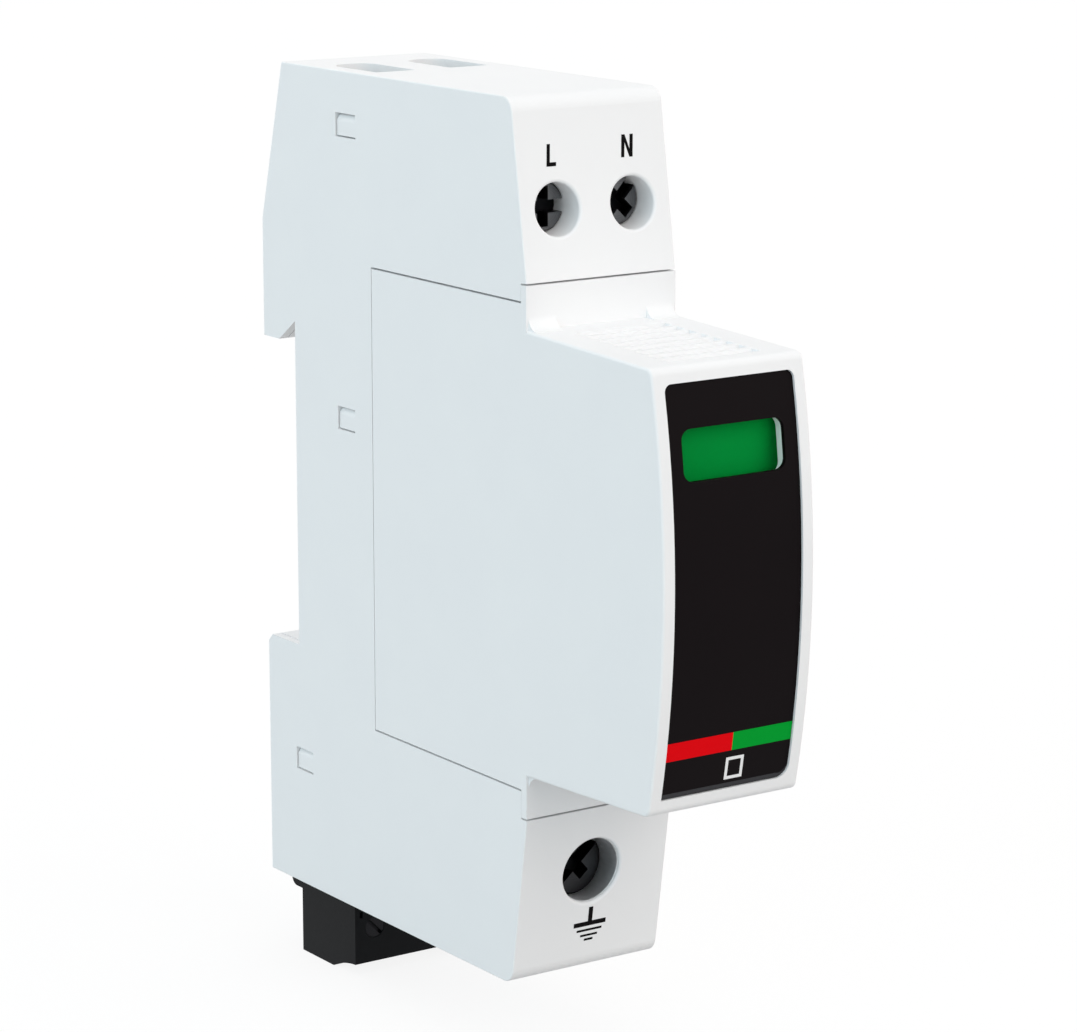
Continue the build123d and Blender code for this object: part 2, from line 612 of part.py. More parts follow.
def base_housing():
    body = soft_edges(slab(BASE_FACE, -INNER, HALF), HALF)
    body -= slab(BASE_HOLLOW, -INNER - OVER, INNER)
    body += base_fill()
    for place in (LINE, NEUTRAL, EARTH):
        body -= access_hole(place)
        body = fillet(mouth_edges(body, place), MOUTH_ROUND)
    for x in (LINE_X, NEUTRAL_X):
        body -= funnel(x, FUNNEL_WIDTH, FUNNEL_DEPTHS, FUNNEL_FLOOR - OVER, TOP + OVER)
    body -= funnel(EARTH_X, EARTH_FUNNEL_WIDTH, EARTH_FUNNEL_DEPTHS, BOTTOM - OVER, EARTH_FUNNEL_FLOOR + OVER)

    # blade slots and the switch button's hole in the bay floor
    body -= blade_slots(BAY_INNER - OVER, BAY_FLOOR + OVER, BLADE_SLOT_GAP)
    reach_x = BUTTON_WIDTH / 2 + LATCH_GAP
    reach_z = BUTTON_RADIUS + LATCH_GAP
    body -= block((SWITCH_X - reach_x, SWITCH_X + reach_x), (BAY_INNER - OVER, BAY_FLOOR + OVER),
                  (BUTTON_Z - reach_z, BUTTON_Z + reach_z))

    # latch track, open to the rear, and the latch head's way through ledge and track wall
    track = LATCH_HALF + LATCH_GAP
    wing = track + LATCH_WING
    body -= block((-track, track), (REAR - OVER, TRACK_WALL), (BOTTOM - OVER, LEDGE - WALL))
    body -= block((-wing, wing), (LATCH_FRONT - LATCH_WING_THICKNESS - LATCH_GAP, TRACK_WALL),
                  (BOTTOM - OVER, LEDGE - WALL))
    body -= block((-track, track), (REAR + WALL, -LATCH_GAP), (LEDGE - WALL - OVER, LEDGE + OVER))
    body -= block((-track, track), (LATCH_FRONT, LATCH_HEAD_FRONT + LATCH_GAP),
                  (LATCH_HEAD_FOOT - LATCH_TRAVEL - LATCH_GAP, LEDGE - WALL))

    # header opening in the bottom
    body -= block((-PLUG_WIDTH / 2, PLUG_WIDTH / 2), HEADER_DEPTHS, (BOTTOM - OVER, HEADER_TOP))
    for window in (WINDOW_UPPER, WINDOW_MIDDLE, WINDOW_LOWER):
        body += catch(window)
    return body


def base_cover():
    """Side plate that snaps over the three catches and closes the base."""
    cover = soft_edges(slab(BASE_FACE, -HALF, -INNER), -HALF)
    for depths, heights in (WINDOW_UPPER, WINDOW_MIDDLE, WINDOW_LOWER):
        cover -= block((-HALF - OVER, -INNER + OVER), depths, heights)
    inset = offset(BASE_FACE, amount=-COVER_SEAM, kind=Kind.INTERSECTION)
    groove = slab(BASE_FACE - inset, -INNER - COVER_SEAM, -INNER)
    round_rail = block((-HALF, HALF), (REAR + FOOT_CHAMFER, -COVER_SEAM), (LEDGE - WALL, SLOT_TOP))
    return cover - (groove & round_rail)


def rail_latch():
    """Slide with a hooked nose that bites under the rail, and a pull tab with a screwdriver eye."""
    half = (-LATCH_HALF, LATCH_HALF)
    wing = LATCH_HALF + LATCH_WING
    hook_front = -RAIL_THICKNESS - LATCH_GAP
    hook_top = -RAIL_HEIGHT / 2 + LATCH_BITE
    body = block(half, (LATCH_REAR, LATCH_FRONT), (BOTTOM - LATCH_TAB, LATCH_HEAD_TOP))
    body += block((-wing, wing), (LATCH_FRONT - LATCH_WING_THICKNESS, LATCH_FRONT),
                  (BOTTOM + LATCH_WING, LATCH_HEAD_TOP))
    body += block(half, (LATCH_REAR, LATCH_HEAD_FRONT), (LATCH_HEAD_FOOT, LATCH_HEAD_TOP))
    nose = drawn(
        (REAR + WALL + LATCH_GAP, LATCH_HEAD_TOP - OVER),
        (-2 * LATCH_GAP, LATCH_HEAD_TOP - OVER),
        (-2 * LATCH_GAP, -RAIL_HEIGHT / 2 - LATCH_GAP),
        (hook_front, -RAIL_HEIGHT / 2 - LATCH_GAP),
        (hook_front, hook_top),
        (hook_front - LATCH_LEAD_IN, hook_top),
        (REAR + WALL + LATCH_GAP, LEDGE - LATCH_SLOPE_DROP),
    )
    body += slab(nose, *half)
    eye_z = (BOTTOM - LATCH_EYE[1], BOTTOM - LATCH_EYE[0])
    return body - block((-LATCH_EYE_HALF, LATCH_EYE_HALF), (LATCH_REAR - OVER, LATCH_FRONT + OVER), eye_z)


# ---- Remote signalling ---------------------------------------------------------------------------------
CAVITY_HALF = PLUG_WIDTH / 2 - HEADER_WALL
CAVITY_DEPTHS = (HEADER_DEPTHS[0] + HEADER_WALL, HEADER_DEPTHS[1] - HEADER_WALL)
CAVITY_ROOF = HEADER_TOP - HEADER_ROOF
PLUG_TOP = BOTTOM - PLUG_DROP_GAP
PLUG_FOOT = PLUG_TOP - PLUG_HEIGHT
SIGNAL_SCREW_Z = PLUG_TOP - SIGNAL_SCREW_DROP
SIGNAL_TONGUE_FRONT = SIGNAL_TONGUE_DEPTH + SIGNAL_TONGUE
SIGNAL_NUT_REAR = SIGNAL_TONGUE_FRONT + NUT_GAP / 2
SIGNAL_NUT_FRONT = SIGNAL_NUT_REAR + SIGNAL_CAGE_NUT
SIGNAL_TRAVEL = SIGNAL_PITCH * SIGNAL_TURNS
SIGNAL_POCKET_FRONT = SIGNAL_NUT_FRONT + SIGNAL_TRAVEL + SIGNAL_WALL_GAP
SIGNAL_HEAD_FACE = PLUG_FRONT - SIGNAL_WALL_GAP / 2
SIGNAL_HEAD_REAR = SIGNAL_HEAD_FACE - SIGNAL_HEAD_LENGTH
SOCKET_FACE = PIN_SIZE / 2 + SOCKET_GAP
SOCKET_REACH = SOCKET_FACE + SOCKET_LEAF
CAGE_TOP = SIGNAL_SCREW_Z + SIGNAL_CAGE_LENGTH / 2
CONTACT_BASE = CAGE_TOP + SIGNAL_WALL_GAP


def signal_header():
    """Socket shroud set into the base's bottom, open downwards."""
    body = block((-PLUG_WIDTH / 2, PLUG_WIDTH / 2), HEADER_DEPTHS, (BOTTOM, HEADER_TOP))
    body -= block((-CAVITY_HALF, CAVITY_HALF), CAVITY_DEPTHS, (BOTTOM - OVER, CAVITY_ROOF))
    return body - header_pins()


def header_pins():
    pins = Part()
    half = PIN_SIZE / 2
    for x in POLES:
        pins += block((x - half, x + half), (PIN_DEPTH - half, PIN_DEPTH + half),
                      (BOTTOM + HEADER_ROOF, HEADER_TOP + PIN_TAIL))
    return pins


def signal_plug():
    """Plug body with one pocket for each pole: wire entry below, clamp and screw, pin socket above."""
    scoop_top = (PLUG_FRONT, PLUG_FOOT + PLUG_STEP)
    scoop_foot = (PLUG_STEP_DEPTH, PLUG_FOOT)
    scoop_middle = ((PLUG_FRONT + PLUG_STEP_DEPTH) / 2, PLUG_FOOT + PLUG_STEP / 2 + PLUG_SCOOP_BULGE)
    lip_foot = PLUG_TOP - PLUG_LIP_HEIGHT
    sides = Polyline(
        scoop_foot,
        (PLUG_REAR, PLUG_FOOT),
        (PLUG_REAR, lip_foot),
        (PLUG_REAR - PLUG_LIP, lip_foot),
        (PLUG_REAR - PLUG_LIP, PLUG_TOP),
        (PLUG_FRONT, PLUG_TOP),
        scoop_top,
    )
    face = make_face(sides + ThreePointArc(scoop_top, scoop_middle, scoop_foot))
    face = rounded(face, ((PLUG_REAR - PLUG_LIP, lip_foot), PLUG_LIP_ROUND))
    body = slab(face, -PLUG_WIDTH / 2, PLUG_WIDTH / 2)
    left = -PLUG_WIDTH / 2
    body -= block((left + PLUG_NOTCH[0], left + PLUG_NOTCH[1]), (PLUG_FRONT - PLUG_NOTCH_CUT, PLUG_FRONT + OVER),
                  (PLUG_TOP - PLUG_NOTCH_DROP[1], PLUG_TOP - PLUG_NOTCH_DROP[0]))
    reach = CAVITY_HALF - PLUG_SLIDE_GAP
    body += block((-reach, reach), (CAVITY_DEPTHS[0] + PLUG_SLIDE_GAP, CAVITY_DEPTHS[1] - PLUG_SLIDE_GAP),
                  (PLUG_TOP - OVER, CAVITY_ROOF - PLUG_SLIDE_GAP))
    pocket = SIGNAL_CAGE_OUTER / 2 + SIGNAL_WALL_GAP
    entry = SIGNAL_CAGE_OUTER / 2 - SIGNAL_CAGE_SHEET
    socket = SOCKET_HALF + SIGNAL_WALL_GAP
    socket_reach = SOCKET_REACH + SIGNAL_WALL_GAP
    for x in POLES:
        body -= block((x - pocket, x + pocket), (SIGNAL_CAGE_REAR - SIGNAL_WALL_GAP, SIGNAL_POCKET_FRONT),
                      (CAGE_TOP - SIGNAL_CAGE_LENGTH - SIGNAL_WALL_GAP, CONTACT_BASE))
        body -= block((x - entry, x + entry), (SIGNAL_CAGE_REAR + SIGNAL_CAGE_SHEET, SIGNAL_TONGUE_DEPTH),
                      (PLUG_FOOT - OVER, SIGNAL_SCREW_Z))
        body -= block((x - socket, x + socket), (PIN_DEPTH - socket_reach, PIN_DEPTH + socket_reach),
                      (CAGE_TOP, CAVITY_ROOF + OVER))
        body -= rod(x, SIGNAL_SCREW_Z, (SIGNAL_NUT_FRONT, PLUG_FRONT + OVER),
                    SIGNAL_SHANK_RADIUS + THREAD_GAP)
        body -= rod(x, SIGNAL_SCREW_Z, (SIGNAL_HEAD_REAR - SIGNAL_WALL_GAP, PLUG_FRONT + OVER),
                    SIGNAL_SCREW_RADIUS + HEAD_GAP / 2)
    return body


def plug_contact(x):
    """Tongue inside the clamp below, and two leaves that grip the header pin above."""
    half = (x - SOCKET_HALF, x + SOCKET_HALF)
    leaf_top = CAVITY_ROOF - 1
    contact = block(half, (SIGNAL_TONGUE_DEPTH, SIGNAL_TONGUE_FRONT),
                    (SIGNAL_SCREW_Z - SIGNAL_CAGE_LENGTH / 2, CONTACT_BASE + SIGNAL_TONGUE))
    contact += block(half, (PIN_DEPTH - SOCKET_REACH, PIN_DEPTH + SOCKET_REACH),
                     (CONTACT_BASE, CONTACT_BASE + SIGNAL_TONGUE))
    contact += block(half, (PIN_DEPTH - SOCKET_REACH, PIN_DEPTH - SOCKET_FACE), (CONTACT_BASE, leaf_top))
    contact += block(half, (PIN_DEPTH + SOCKET_FACE, PIN_DEPTH + SOCKET_REACH), (CONTACT_BASE, leaf_top))
    return contact


def plug_contacts():
    contacts = Part()
    for x in POLES:
        contacts += plug_contact(x)
    return contacts


def plug_clamp(x):
    """Small lift clamp in the plug."""
    outer = SIGNAL_CAGE_OUTER / 2
    inner = outer - SIGNAL_CAGE_SHEET
    heights = (CAGE_TOP - SIGNAL_CAGE_LENGTH, CAGE_TOP)
    cage = block((x - outer, x + outer), (SIGNAL_CAGE_REAR, SIGNAL_NUT_FRONT), heights)
    cage -= block((x - inner, x + inner), (SIGNAL_CAGE_REAR + SIGNAL_CAGE_SHEET, SIGNAL_NUT_REAR),
                  (heights[0] - OVER, heights[1] + OVER))
    return cage - rod(x, SIGNAL_SCREW_Z, (SIGNAL_NUT_REAR - OVER, SIGNAL_NUT_FRONT + OVER),
                      SIGNAL_SHANK_RADIUS + THREAD_GAP)


def plug_screw(x):
    """Slotted screw, its head just inside the plug's front."""
    tip = SIGNAL_TONGUE_FRONT + SCREW_TIP_GAP
    body = rod(x, SIGNAL_SCREW_Z, (tip, SIGNAL_HEAD_REAR), SIGNAL_SHANK_RADIUS)
    body += rod(x, SIGNAL_SCREW_Z, (SIGNAL_HEAD_REAR, SIGNAL_HEAD_FACE), SIGNAL_SCREW_RADIUS)
    slot = Box(2 * SIGNAL_SCREW_RADIUS + OVER, 2 * SIGNAL_SLOT, SIGNAL_SLOT)
    return body - Pos(x, -SIGNAL_HEAD_FACE, SIGNAL_SCREW_Z) * Rot(0, SIGNAL_SLOT_ANGLE, 0) * slot


def button_profile(grow, depth_low):
    """Side view of the switch button: straight stem with a round top."""
    half = BUTTON_RADIUS + grow
    middle = BUTTON_TOP - BUTTON_RADIUS
    stem = drawn((depth_low, BUTTON_Z - half), (middle, BUTTON_Z - half), (middle, BUTTON_Z + half),
                 (depth_low, BUTTON_Z + half))
    return stem + Pos(middle, BUTTON_Z) * Circle(half)


def switch_button():
    half = BUTTON_WIDTH / 2
    return slab(button_profile(0, BAY_INNER - BUTTON_STEM), SWITCH_X - half, SWITCH_X + half)


def signal_switch():
    """Snap-action switch behind the bay floor, with three solder tags at its rear."""
    half = SWITCH_WIDTH / 2
    rear = BAY_INNER - SWITCH_HEIGHT
    body = block((SWITCH_X - half, SWITCH_X + half), (rear, BAY_INNER),
                 (-SWITCH_HALF_LENGTH, SWITCH_HALF_LENGTH))
    pocket_rear = BAY_INNER - BUTTON_STEM - BUTTON_TRAVEL - LATCH_GAP
    reach = BUTTON_WIDTH / 2 + LATCH_GAP / 2
    body -= slab(button_profile(LATCH_GAP / 2, pocket_rear), SWITCH_X - reach, SWITCH_X + reach)
    pin_left = MIDDLE_LEAD_X - LEAD_RADIUS - SWITCH_PIN_MARGIN
    for z in (-SWITCH_PIN_Z, 0, SWITCH_PIN_Z):
        body += block((pin_left, SWITCH_X + SWITCH_PIN_REACH), (rear - SWITCH_PIN_LENGTH, rear),
                      (z - SWITCH_PIN_THICKNESS / 2, z + SWITCH_PIN_THICKNESS / 2))
    return body


def lead(*points):
    """Insulated wire along straight runs and round bends."""
    path = FilletPolyline(*points, radius=LEAD_BEND)
    start = Plane(origin=path @ 0, z_dir=path % 0)
    return sweep(start * Circle(LEAD_RADIUS), path=path)


def signal_leads():
    """Three wires from the header's pins to the switch's tags."""
    start = HEADER_TOP + PIN_TAIL
    near = -PIN_DEPTH
    far = -(BAY_INNER - SWITCH_HEIGHT - SWITCH_PIN_LENGTH)
    right, left = PLUG_PITCH, -PLUG_PITCH
    side_step = MIDDLE_LEAD_X
    jog = start + LEAD_RISE
    wires = lead((right, near, start), (right, near, -SWITCH_PIN_Z), (right, far, -SWITCH_PIN_Z))
    wires += lead((0, near, start), (0, near, jog), (side_step, near, jog + LEAD_JOG),
                  (side_step, near, 0), (side_step, far, 0))
    wires += lead((left, near, start), (left, near, SWITCH_PIN_Z), (right, near, SWITCH_PIN_Z),
                  (right, far, SWITCH_PIN_Z))
    return wires


# ---- Module ---------------------------------------------------------------------------------------------
HOOD_INNER = HALF - HOOD_SIDE_WALL
HOOD_ROOF = MODULE_TOP - HOOD_WALL
HOOD_FLOOR = MODULE_BOTTOM + HOOD_WALL
INNER_SINK = LABEL_POCKET + FRONT_SKIN
LENS_SINK = INNER_SINK + LABEL_GAP
LENS_REAR = LENS_SINK + LENS_THICKNESS
FLAG_Z = (WINDOW_BOTTOM - FLAG_MARGIN, WINDOW_TOP + FLAG_MARGIN)
CARRIER_FRONT = MODULE_REAR + CARRIER_THICKNESS
ARM_HIGH = TRIP_ARM_Z[1]
VARISTOR_HALF = VARISTOR_THICKNESS / 2


def crown_depth(sink, z):
    """Depth of the nose's round front at a height, sunk by an amount."""
    return NOSE_CROWN - NOSE_RADIUS + sqrt((NOSE_RADIUS - sink) ** 2 - z ** 2)


def nose_roof(depth):
    """Height of the nose's upper side at a depth."""
    return NOSE_ROOT_HALF - NOSE_DRAFT * (depth - FRONT_DEPTH) / (NOSE_DEPTH - FRONT_DEPTH)


FLAG_FRONT = crown_depth(LENS_REAR, FLAG_Z[1]) - FLAG_GAP / 2
FLAG_REAR = FLAG_FRONT - FLAG_THICKNESS
FAULT_FRONT = FLAG_REAR - FLAG_GAP
VARISTOR_FRONT = FAULT_FRONT - FAULT_THICKNESS - VARISTOR_GAP
TRIP_SPRING_TOP = nose_roof(TRIP_SPRING_DEPTH + SPRING_RADIUS) - HOOD_WALL


def hood_outline():
    sides = Polyline(
        (NOSE_DEPTH, NOSE_FRONT_HALF),
        (FRONT_DEPTH, NOSE_ROOT_HALF),
        (FRONT_DEPTH, FLANGE_HALF),
        (FLANGE_REAR, FLANGE_HALF),
        (FLANGE_REAR, MODULE_TOP),
        (MODULE_REAR, MODULE_TOP),
        (MODULE_REAR, MODULE_BOTTOM),
        (FLANGE_REAR, MODULE_BOTTOM),
        (FLANGE_REAR, -FLANGE_HALF),
        (FRONT_DEPTH, -FLANGE_HALF),
        (FRONT_DEPTH, -NOSE_ROOT_HALF),
        (NOSE_DEPTH, -NOSE_FRONT_HALF),
    )
    front = ThreePointArc((NOSE_DEPTH, -NOSE_FRONT_HALF), (NOSE_CROWN, 0), (NOSE_DEPTH, NOSE_FRONT_HALF))
    face = make_face(sides + front)
    upper, lower = (NOSE_DEPTH, NOSE_FRONT_HALF), (NOSE_DEPTH, -NOSE_FRONT_HALF)
    return rounded(face, (upper, NOSE_ROUND), (lower, NOSE_ROUND))


def hood_hollow():
    root = FRONT_DEPTH - HOOD_WALL
    front_half = NOSE_FRONT_HALF - HOOD_WALL
    front = crown_depth(INNER_SINK, front_half)
    sides = Polyline(
        (front, front_half),
        (root, NOSE_ROOT_HALF - HOOD_WALL),
        (root, HOOD_ROOF),
        (MODULE_REAR - OVER, HOOD_ROOF),
        (MODULE_REAR - OVER, HOOD_FLOOR),
        (root, HOOD_FLOOR),
        (root, -NOSE_ROOT_HALF + HOOD_WALL),
        (front, -front_half),
    )
    arc = ThreePointArc((front, -front_half), (NOSE_CROWN - INNER_SINK, 0), (front, front_half))
    return make_face(sides + arc)


def front_prism(width, z_low, z_high, left_low, right_low, upper):
    """Upright prism through the nose's front, with the radii of its lower corners and its upper pair."""
    half = width / 2
    face = drawn((-half, z_low), (half, z_low), (half, z_high), (-half, z_high))
    face = rounded(face, ((half, z_low), right_low), ((-half, z_high), upper), ((half, z_high), upper))
    if left_low:
        face = rounded(face, ((-half, z_low), left_low))
    start = NOSE_DEPTH - LENS_REAR - OVER
    front = Plane(origin=(0, -start, 0), x_dir=(1, 0, 0), z_dir=(0, -1, 0))
    return extrude(front * face, amount=NOSE_CROWN + OVER - start)


def window_cut(sill):
    """Window opening, its lower edge dropped by the sill."""
    radius = WINDOW_ROUND
    return front_prism(WINDOW_WIDTH, WINDOW_BOTTOM - sill, WINDOW_TOP, radius, radius, radius)


def grip(side):
    """Ribbed channel across the nose: steps that rise towards the front. side is 1 above, -1 below."""
    half = GRIP_WIDTH / 2
    cuts = Part()
    for count in range(GRIP_COUNT):
        start = GRIP_START + count * GRIP_PITCH
        end = start + GRIP_LENGTH
        step = drawn(
            (start, side * (nose_roof(start) + OVER)),
            (start, side * (nose_roof(start) - GRIP_CUT)),
            (end, side * nose_roof(end)),
            (end, side * (nose_roof(end) + OVER)),
        )
        cuts += slab(step, -half, half)
    return cuts


def root_rounds(side):
    """Concave rounds where the nose meets the flange, on each side of the ribbed channel."""
    radius = NOSE_ROOT_ROUND
    root = side * NOSE_ROOT_HALF
    sunk = HOOD_WALL / 4
    wedge = drawn(
        (FRONT_DEPTH - sunk, root - side * sunk),
        (FRONT_DEPTH + radius, side * nose_roof(FRONT_DEPTH + radius) - side * sunk),
        (FRONT_DEPTH + radius, root + side * radius),
        (FRONT_DEPTH - sunk, root + side * radius),
    )
    wedge -= Pos(FRONT_DEPTH + radius, root + side * radius) * Circle(radius)
    half = GRIP_WIDTH / 2
    return slab(wedge, half, HALF - EDGE_ROUND) + slab(wedge, -HALF + EDGE_ROUND, -half)


def module_hood():
    """One-piece cap: side walls, flange and nose, open towards the rail."""
    body = slab(hood_outline(), -HALF, HALF)
    side_edges = [edge for edge in body.edges() if abs(abs(edge.center().X) - HALF) < TOLERANCE]
    nose_edges = [edge for edge in side_edges if -edge.center().Y > FRONT_DEPTH + TOLERANCE]
    body = fillet(nose_edges, EDGE_ROUND)
    for side in (1, -1):
        body += root_rounds(side)
    body -= slab(hood_hollow(), -HOOD_INNER, HOOD_INNER)
    for side in (1, -1):
        body -= grip(side)
    pocket = front_prism(LABEL_WIDTH, -LABEL_HALF, LABEL_HALF, 0, LABEL_LOW_ROUND, LABEL_ROUND)
    body -= pocket - crown(LABEL_POCKET)
    body -= window_cut(WINDOW_SILL)
    return body + hood_ribs()


def hood_ribs():
    """Ribs that hold the varistor between the side walls, clear of the trip arm."""
    ribs = Part()
    wall = HALF - HOOD_SIDE_WALL / 2
    for depth in (VARISTOR_REAR + RIB_INSET, VARISTOR_FRONT - RIB_INSET):
        ribs += block((-wall, -VARISTOR_HALF), (depth, depth + RIB), LEFT_RIB_Z)
        right = depth + RIB_STAGGER
        ribs += block((VARISTOR_HALF, wall), (right, right + RIB), RIGHT_RIB_Z)
    return ribs


def label_plate():
    """Printed front plate, bent to the nose's crown, with the window cut out."""
    trim = 2 * LABEL_GAP
    plate = front_prism(LABEL_WIDTH - trim, -LABEL_HALF + LABEL_GAP, LABEL_HALF - LABEL_GAP,
                        0, LABEL_LOW_ROUND, LABEL_ROUND)
    plate &= crown(LABEL_POCKET - LABEL_THICKNESS)
    plate -= crown(LABEL_POCKET)
    return plate - window_cut(0)


def window_lens():
    """Clear pane behind the window."""
    low, high = WINDOW_BOTTOM - LENS_MARGIN, WINDOW_TOP + LENS_MARGIN
    pane = front_prism(WINDOW_WIDTH + 2 * LENS_MARGIN, low, high, WINDOW_ROUND, WINDOW_ROUND, WINDOW_ROUND)
    return (pane & crown(INNER_SINK)) - crown(INNER_SINK + LENS_THICKNESS)


def module_carrier():
    """Rear plate of the module, which carries the blades and closes the hood."""
    plate = block((-HOOD_INNER, HOOD_INNER), (MODULE_REAR, CARRIER_FRONT), (HOOD_FLOOR, HOOD_ROOF))
    plate -= blade_slots(MODULE_REAR - OVER, CARRIER_FRONT + OVER, 0)
    ramp_low, ramp_high = ramp_heights()
    slot_left = TRIP_ARM_X[1] - RAMP_WIDTH - LATCH_GAP
    return plate - block((slot_left, HOOD_INNER), (MODULE_REAR - OVER, CARRIER_FRONT + OVER),
                         (ramp_low - TRIP_TRAVEL - LATCH_GAP, ramp_high + LATCH_GAP))


def varistor():
    """Square coated disc with a solder tab on its right face."""
    half = VARISTOR_HEIGHT / 2
    disc = block((-VARISTOR_HALF, VARISTOR_HALF), (VARISTOR_REAR, VARISTOR_FRONT), (-half, half))
    disc = fillet(disc.edges().filter_by(Axis.X), VARISTOR_CORNER)
    disc = fillet(disc.edges(), VARISTOR_ROUND)
    tab_depths = (TONGUE_TIP - SOLDER_TAB_LENGTH, TONGUE_TIP)
    return disc + block((VARISTOR_HALF - SOLDER_TAB, VARISTOR_HALF + SOLDER_TAB), tab_depths, SOLDER_TAB_Z)


TONGUE_TIP = TONGUE_PIVOT_DEPTH + TONGUE_REACH
TUBE_TOP = TONGUE_Z[1] + SOLDER_TAB / 2
TUBE_LOW = TUBE_TOP - TUBE_LENGTH
STRAP_REAR = CARRIER_FRONT + STRAP_CLEARANCE
STRAP_REACH = TUBE_DEPTH + TUBE_RADIUS - STRAP_SHORT
BLADE_ROOT_DEPTH = CARRIER_FRONT + BLADE_ROOT


def gas_tube():
    """Ceramic discharge tube with a metal cap at each end."""
    centre = Pos(TUBE_X, -TUBE_DEPTH, 0)
    body = centre * Pos(0, 0, (TUBE_LOW + TUBE_TOP) / 2) * Cylinder(TUBE_RADIUS - TUBE_CAP_STEP, TUBE_LENGTH)
    for z in (TUBE_LOW + TUBE_CAP / 2, TUBE_TOP - TUBE_CAP / 2):
        body += centre * Pos(0, 0, z) * Cylinder(TUBE_RADIUS, TUBE_CAP)
    return body


def pointed(blade):
    """Blade with its two tip corners cut off."""
    across = blade.edges().filter_by(Axis.X)
    tip = [edge for edge in across if abs(-edge.center().Y - BLADE_TIP_DEPTH) < TOLERANCE]
    return chamfer(tip, BLADE_POINT)


def line_blade():
    """Line blade, joggled sideways to lie on the varistor's left face."""
    thick = BLADE_THICKNESS / 2
    joggle = VARISTOR_REAR - JOGGLE_START
    landing = VARISTOR_REAR - JOGGLE_END
    end = landing + LANDING_LENGTH
    face = drawn(
        (LINE_X - thick, -BLADE_TIP_DEPTH),
        (LINE_X + thick, -BLADE_TIP_DEPTH),
        (LINE_X + thick, -joggle),
        (-VARISTOR_HALF, -landing),
        (-VARISTOR_HALF, -end),
        (-VARISTOR_HALF - BLADE_THICKNESS, -end),
        (-VARISTOR_HALF - BLADE_THICKNESS, -(landing + JOGGLE_EASE)),
        (LINE_X - thick, -(joggle + JOGGLE_EASE)),
    )
    return pointed(post(face, MAINS_BLADE_Z - BLADE_WIDTH / 2, MAINS_BLADE_Z + BLADE_WIDTH / 2))


def neutral_blade():
    """Neutral blade with a strap over the discharge tube and the disconnector's root."""
    low, high = MAINS_BLADE_Z - BLADE_WIDTH / 2, MAINS_BLADE_Z + BLADE_WIDTH / 2
    left, right = NEUTRAL_X - BLADE_THICKNESS / 2, NEUTRAL_X + BLADE_THICKNESS / 2
    blade = pointed(block((left, right), (BLADE_TIP_DEPTH, BLADE_ROOT_DEPTH), (low, high)))
    strap_z = (TUBE_TOP, TUBE_TOP + STRAP)
    blade += block((left, right), (STRAP_REAR, BLADE_ROOT_DEPTH), (TUBE_TOP, high))
    blade += block((TUBE_X - STRAP_HALF, right), (STRAP_REAR, STRAP_REACH), strap_z)
    return blade + block((VARISTOR_HALF, right), (STRAP_REAR, TONGUE_PIVOT_DEPTH + TONGUE_LEAF), strap_z)


def earth_blade():
    """Earth blade with a strap under the discharge tube."""
    low, high = EARTH_BLADE_Z - BLADE_WIDTH / 2, EARTH_BLADE_Z + BLADE_WIDTH / 2
    left, right = EARTH_X - BLADE_THICKNESS / 2, EARTH_X + BLADE_THICKNESS / 2
    blade = pointed(block((left, right), (BLADE_TIP_DEPTH, BLADE_ROOT_DEPTH), (low, high)))
    blade += block((left, right), (STRAP_REAR, BLADE_ROOT_DEPTH), (low, TUBE_LOW))
    strap_z = (TUBE_LOW - STRAP, TUBE_LOW)
    return blade + block((TUBE_X - STRAP_HALF, right), (STRAP_REAR, STRAP_REACH), strap_z)


def disconnect_tongue():
    """Spring leaf soldered to the varistor's tab; it swings clear when the solder lets go."""
    inner = VARISTOR_HALF + SOLDER_TAB + SCREW_TIP_GAP
    leaf = block((inner, inner + TONGUE_LEAF), (TONGUE_PIVOT_DEPTH, TONGUE_TIP), TONGUE_Z)
    root = Pos(inner + TONGUE_LEAF / 2, -TONGUE_PIVOT_DEPTH, (TONGUE_Z[0] + TONGUE_Z[1]) / 2)
    return leaf + root * Cylinder(TONGUE_LEAF, TONGUE_Z[1] - TONGUE_Z[0])


def ramp_heights():
    """Lower and upper ends of the ramp that presses the switch button."""
    margin = 2 * BUTTON_RADIUS
    return BUTTON_Z - margin, BUTTON_Z + TRIP_TRAVEL + margin


def status_slider():
    """Spring-driven slide: green flag in front, arm along the right wall, ramp at the rear."""
    arm_right = TRIP_ARM_X[1]
    rear = CARRIER_FRONT + FLAG_GAP
    body = block(TRIP_ARM_X, (rear, FLAG_FRONT), TRIP_ARM_Z)
    body += block((-HOOD_INNER + FLAG_SIDE_GAP, arm_right), (FLAG_REAR, FLAG_FRONT), FLAG_Z)
    seat = SPRING_RADIUS + SEAT_MARGIN
    body += block((arm_right - 2 * seat, arm_right), (TRIP_SPRING_DEPTH - seat, TRIP_SPRING_DEPTH + seat),
                  TRIP_ARM_Z)
    ramp_low, ramp_high = ramp_heights()
    slope = BUTTON_TRAVEL / TRIP_TRAVEL
    contact = BUTTON_TOP + SCREW_TIP_GAP
    ramp = drawn(
        (contact + slope * (BUTTON_Z - ramp_low), ramp_low),
        (rear, ramp_low),
        (rear, ramp_high),
        (contact - slope * (ramp_high - BUTTON_Z), ramp_high),
    )
    body += slab(ramp, arm_right - RAMP_WIDTH, arm_right)
    return body + block(TRIP_ARM_X, (rear, CARRIER_FRONT + ARM_DEPTH), (ramp_low, ARM_HIGH))


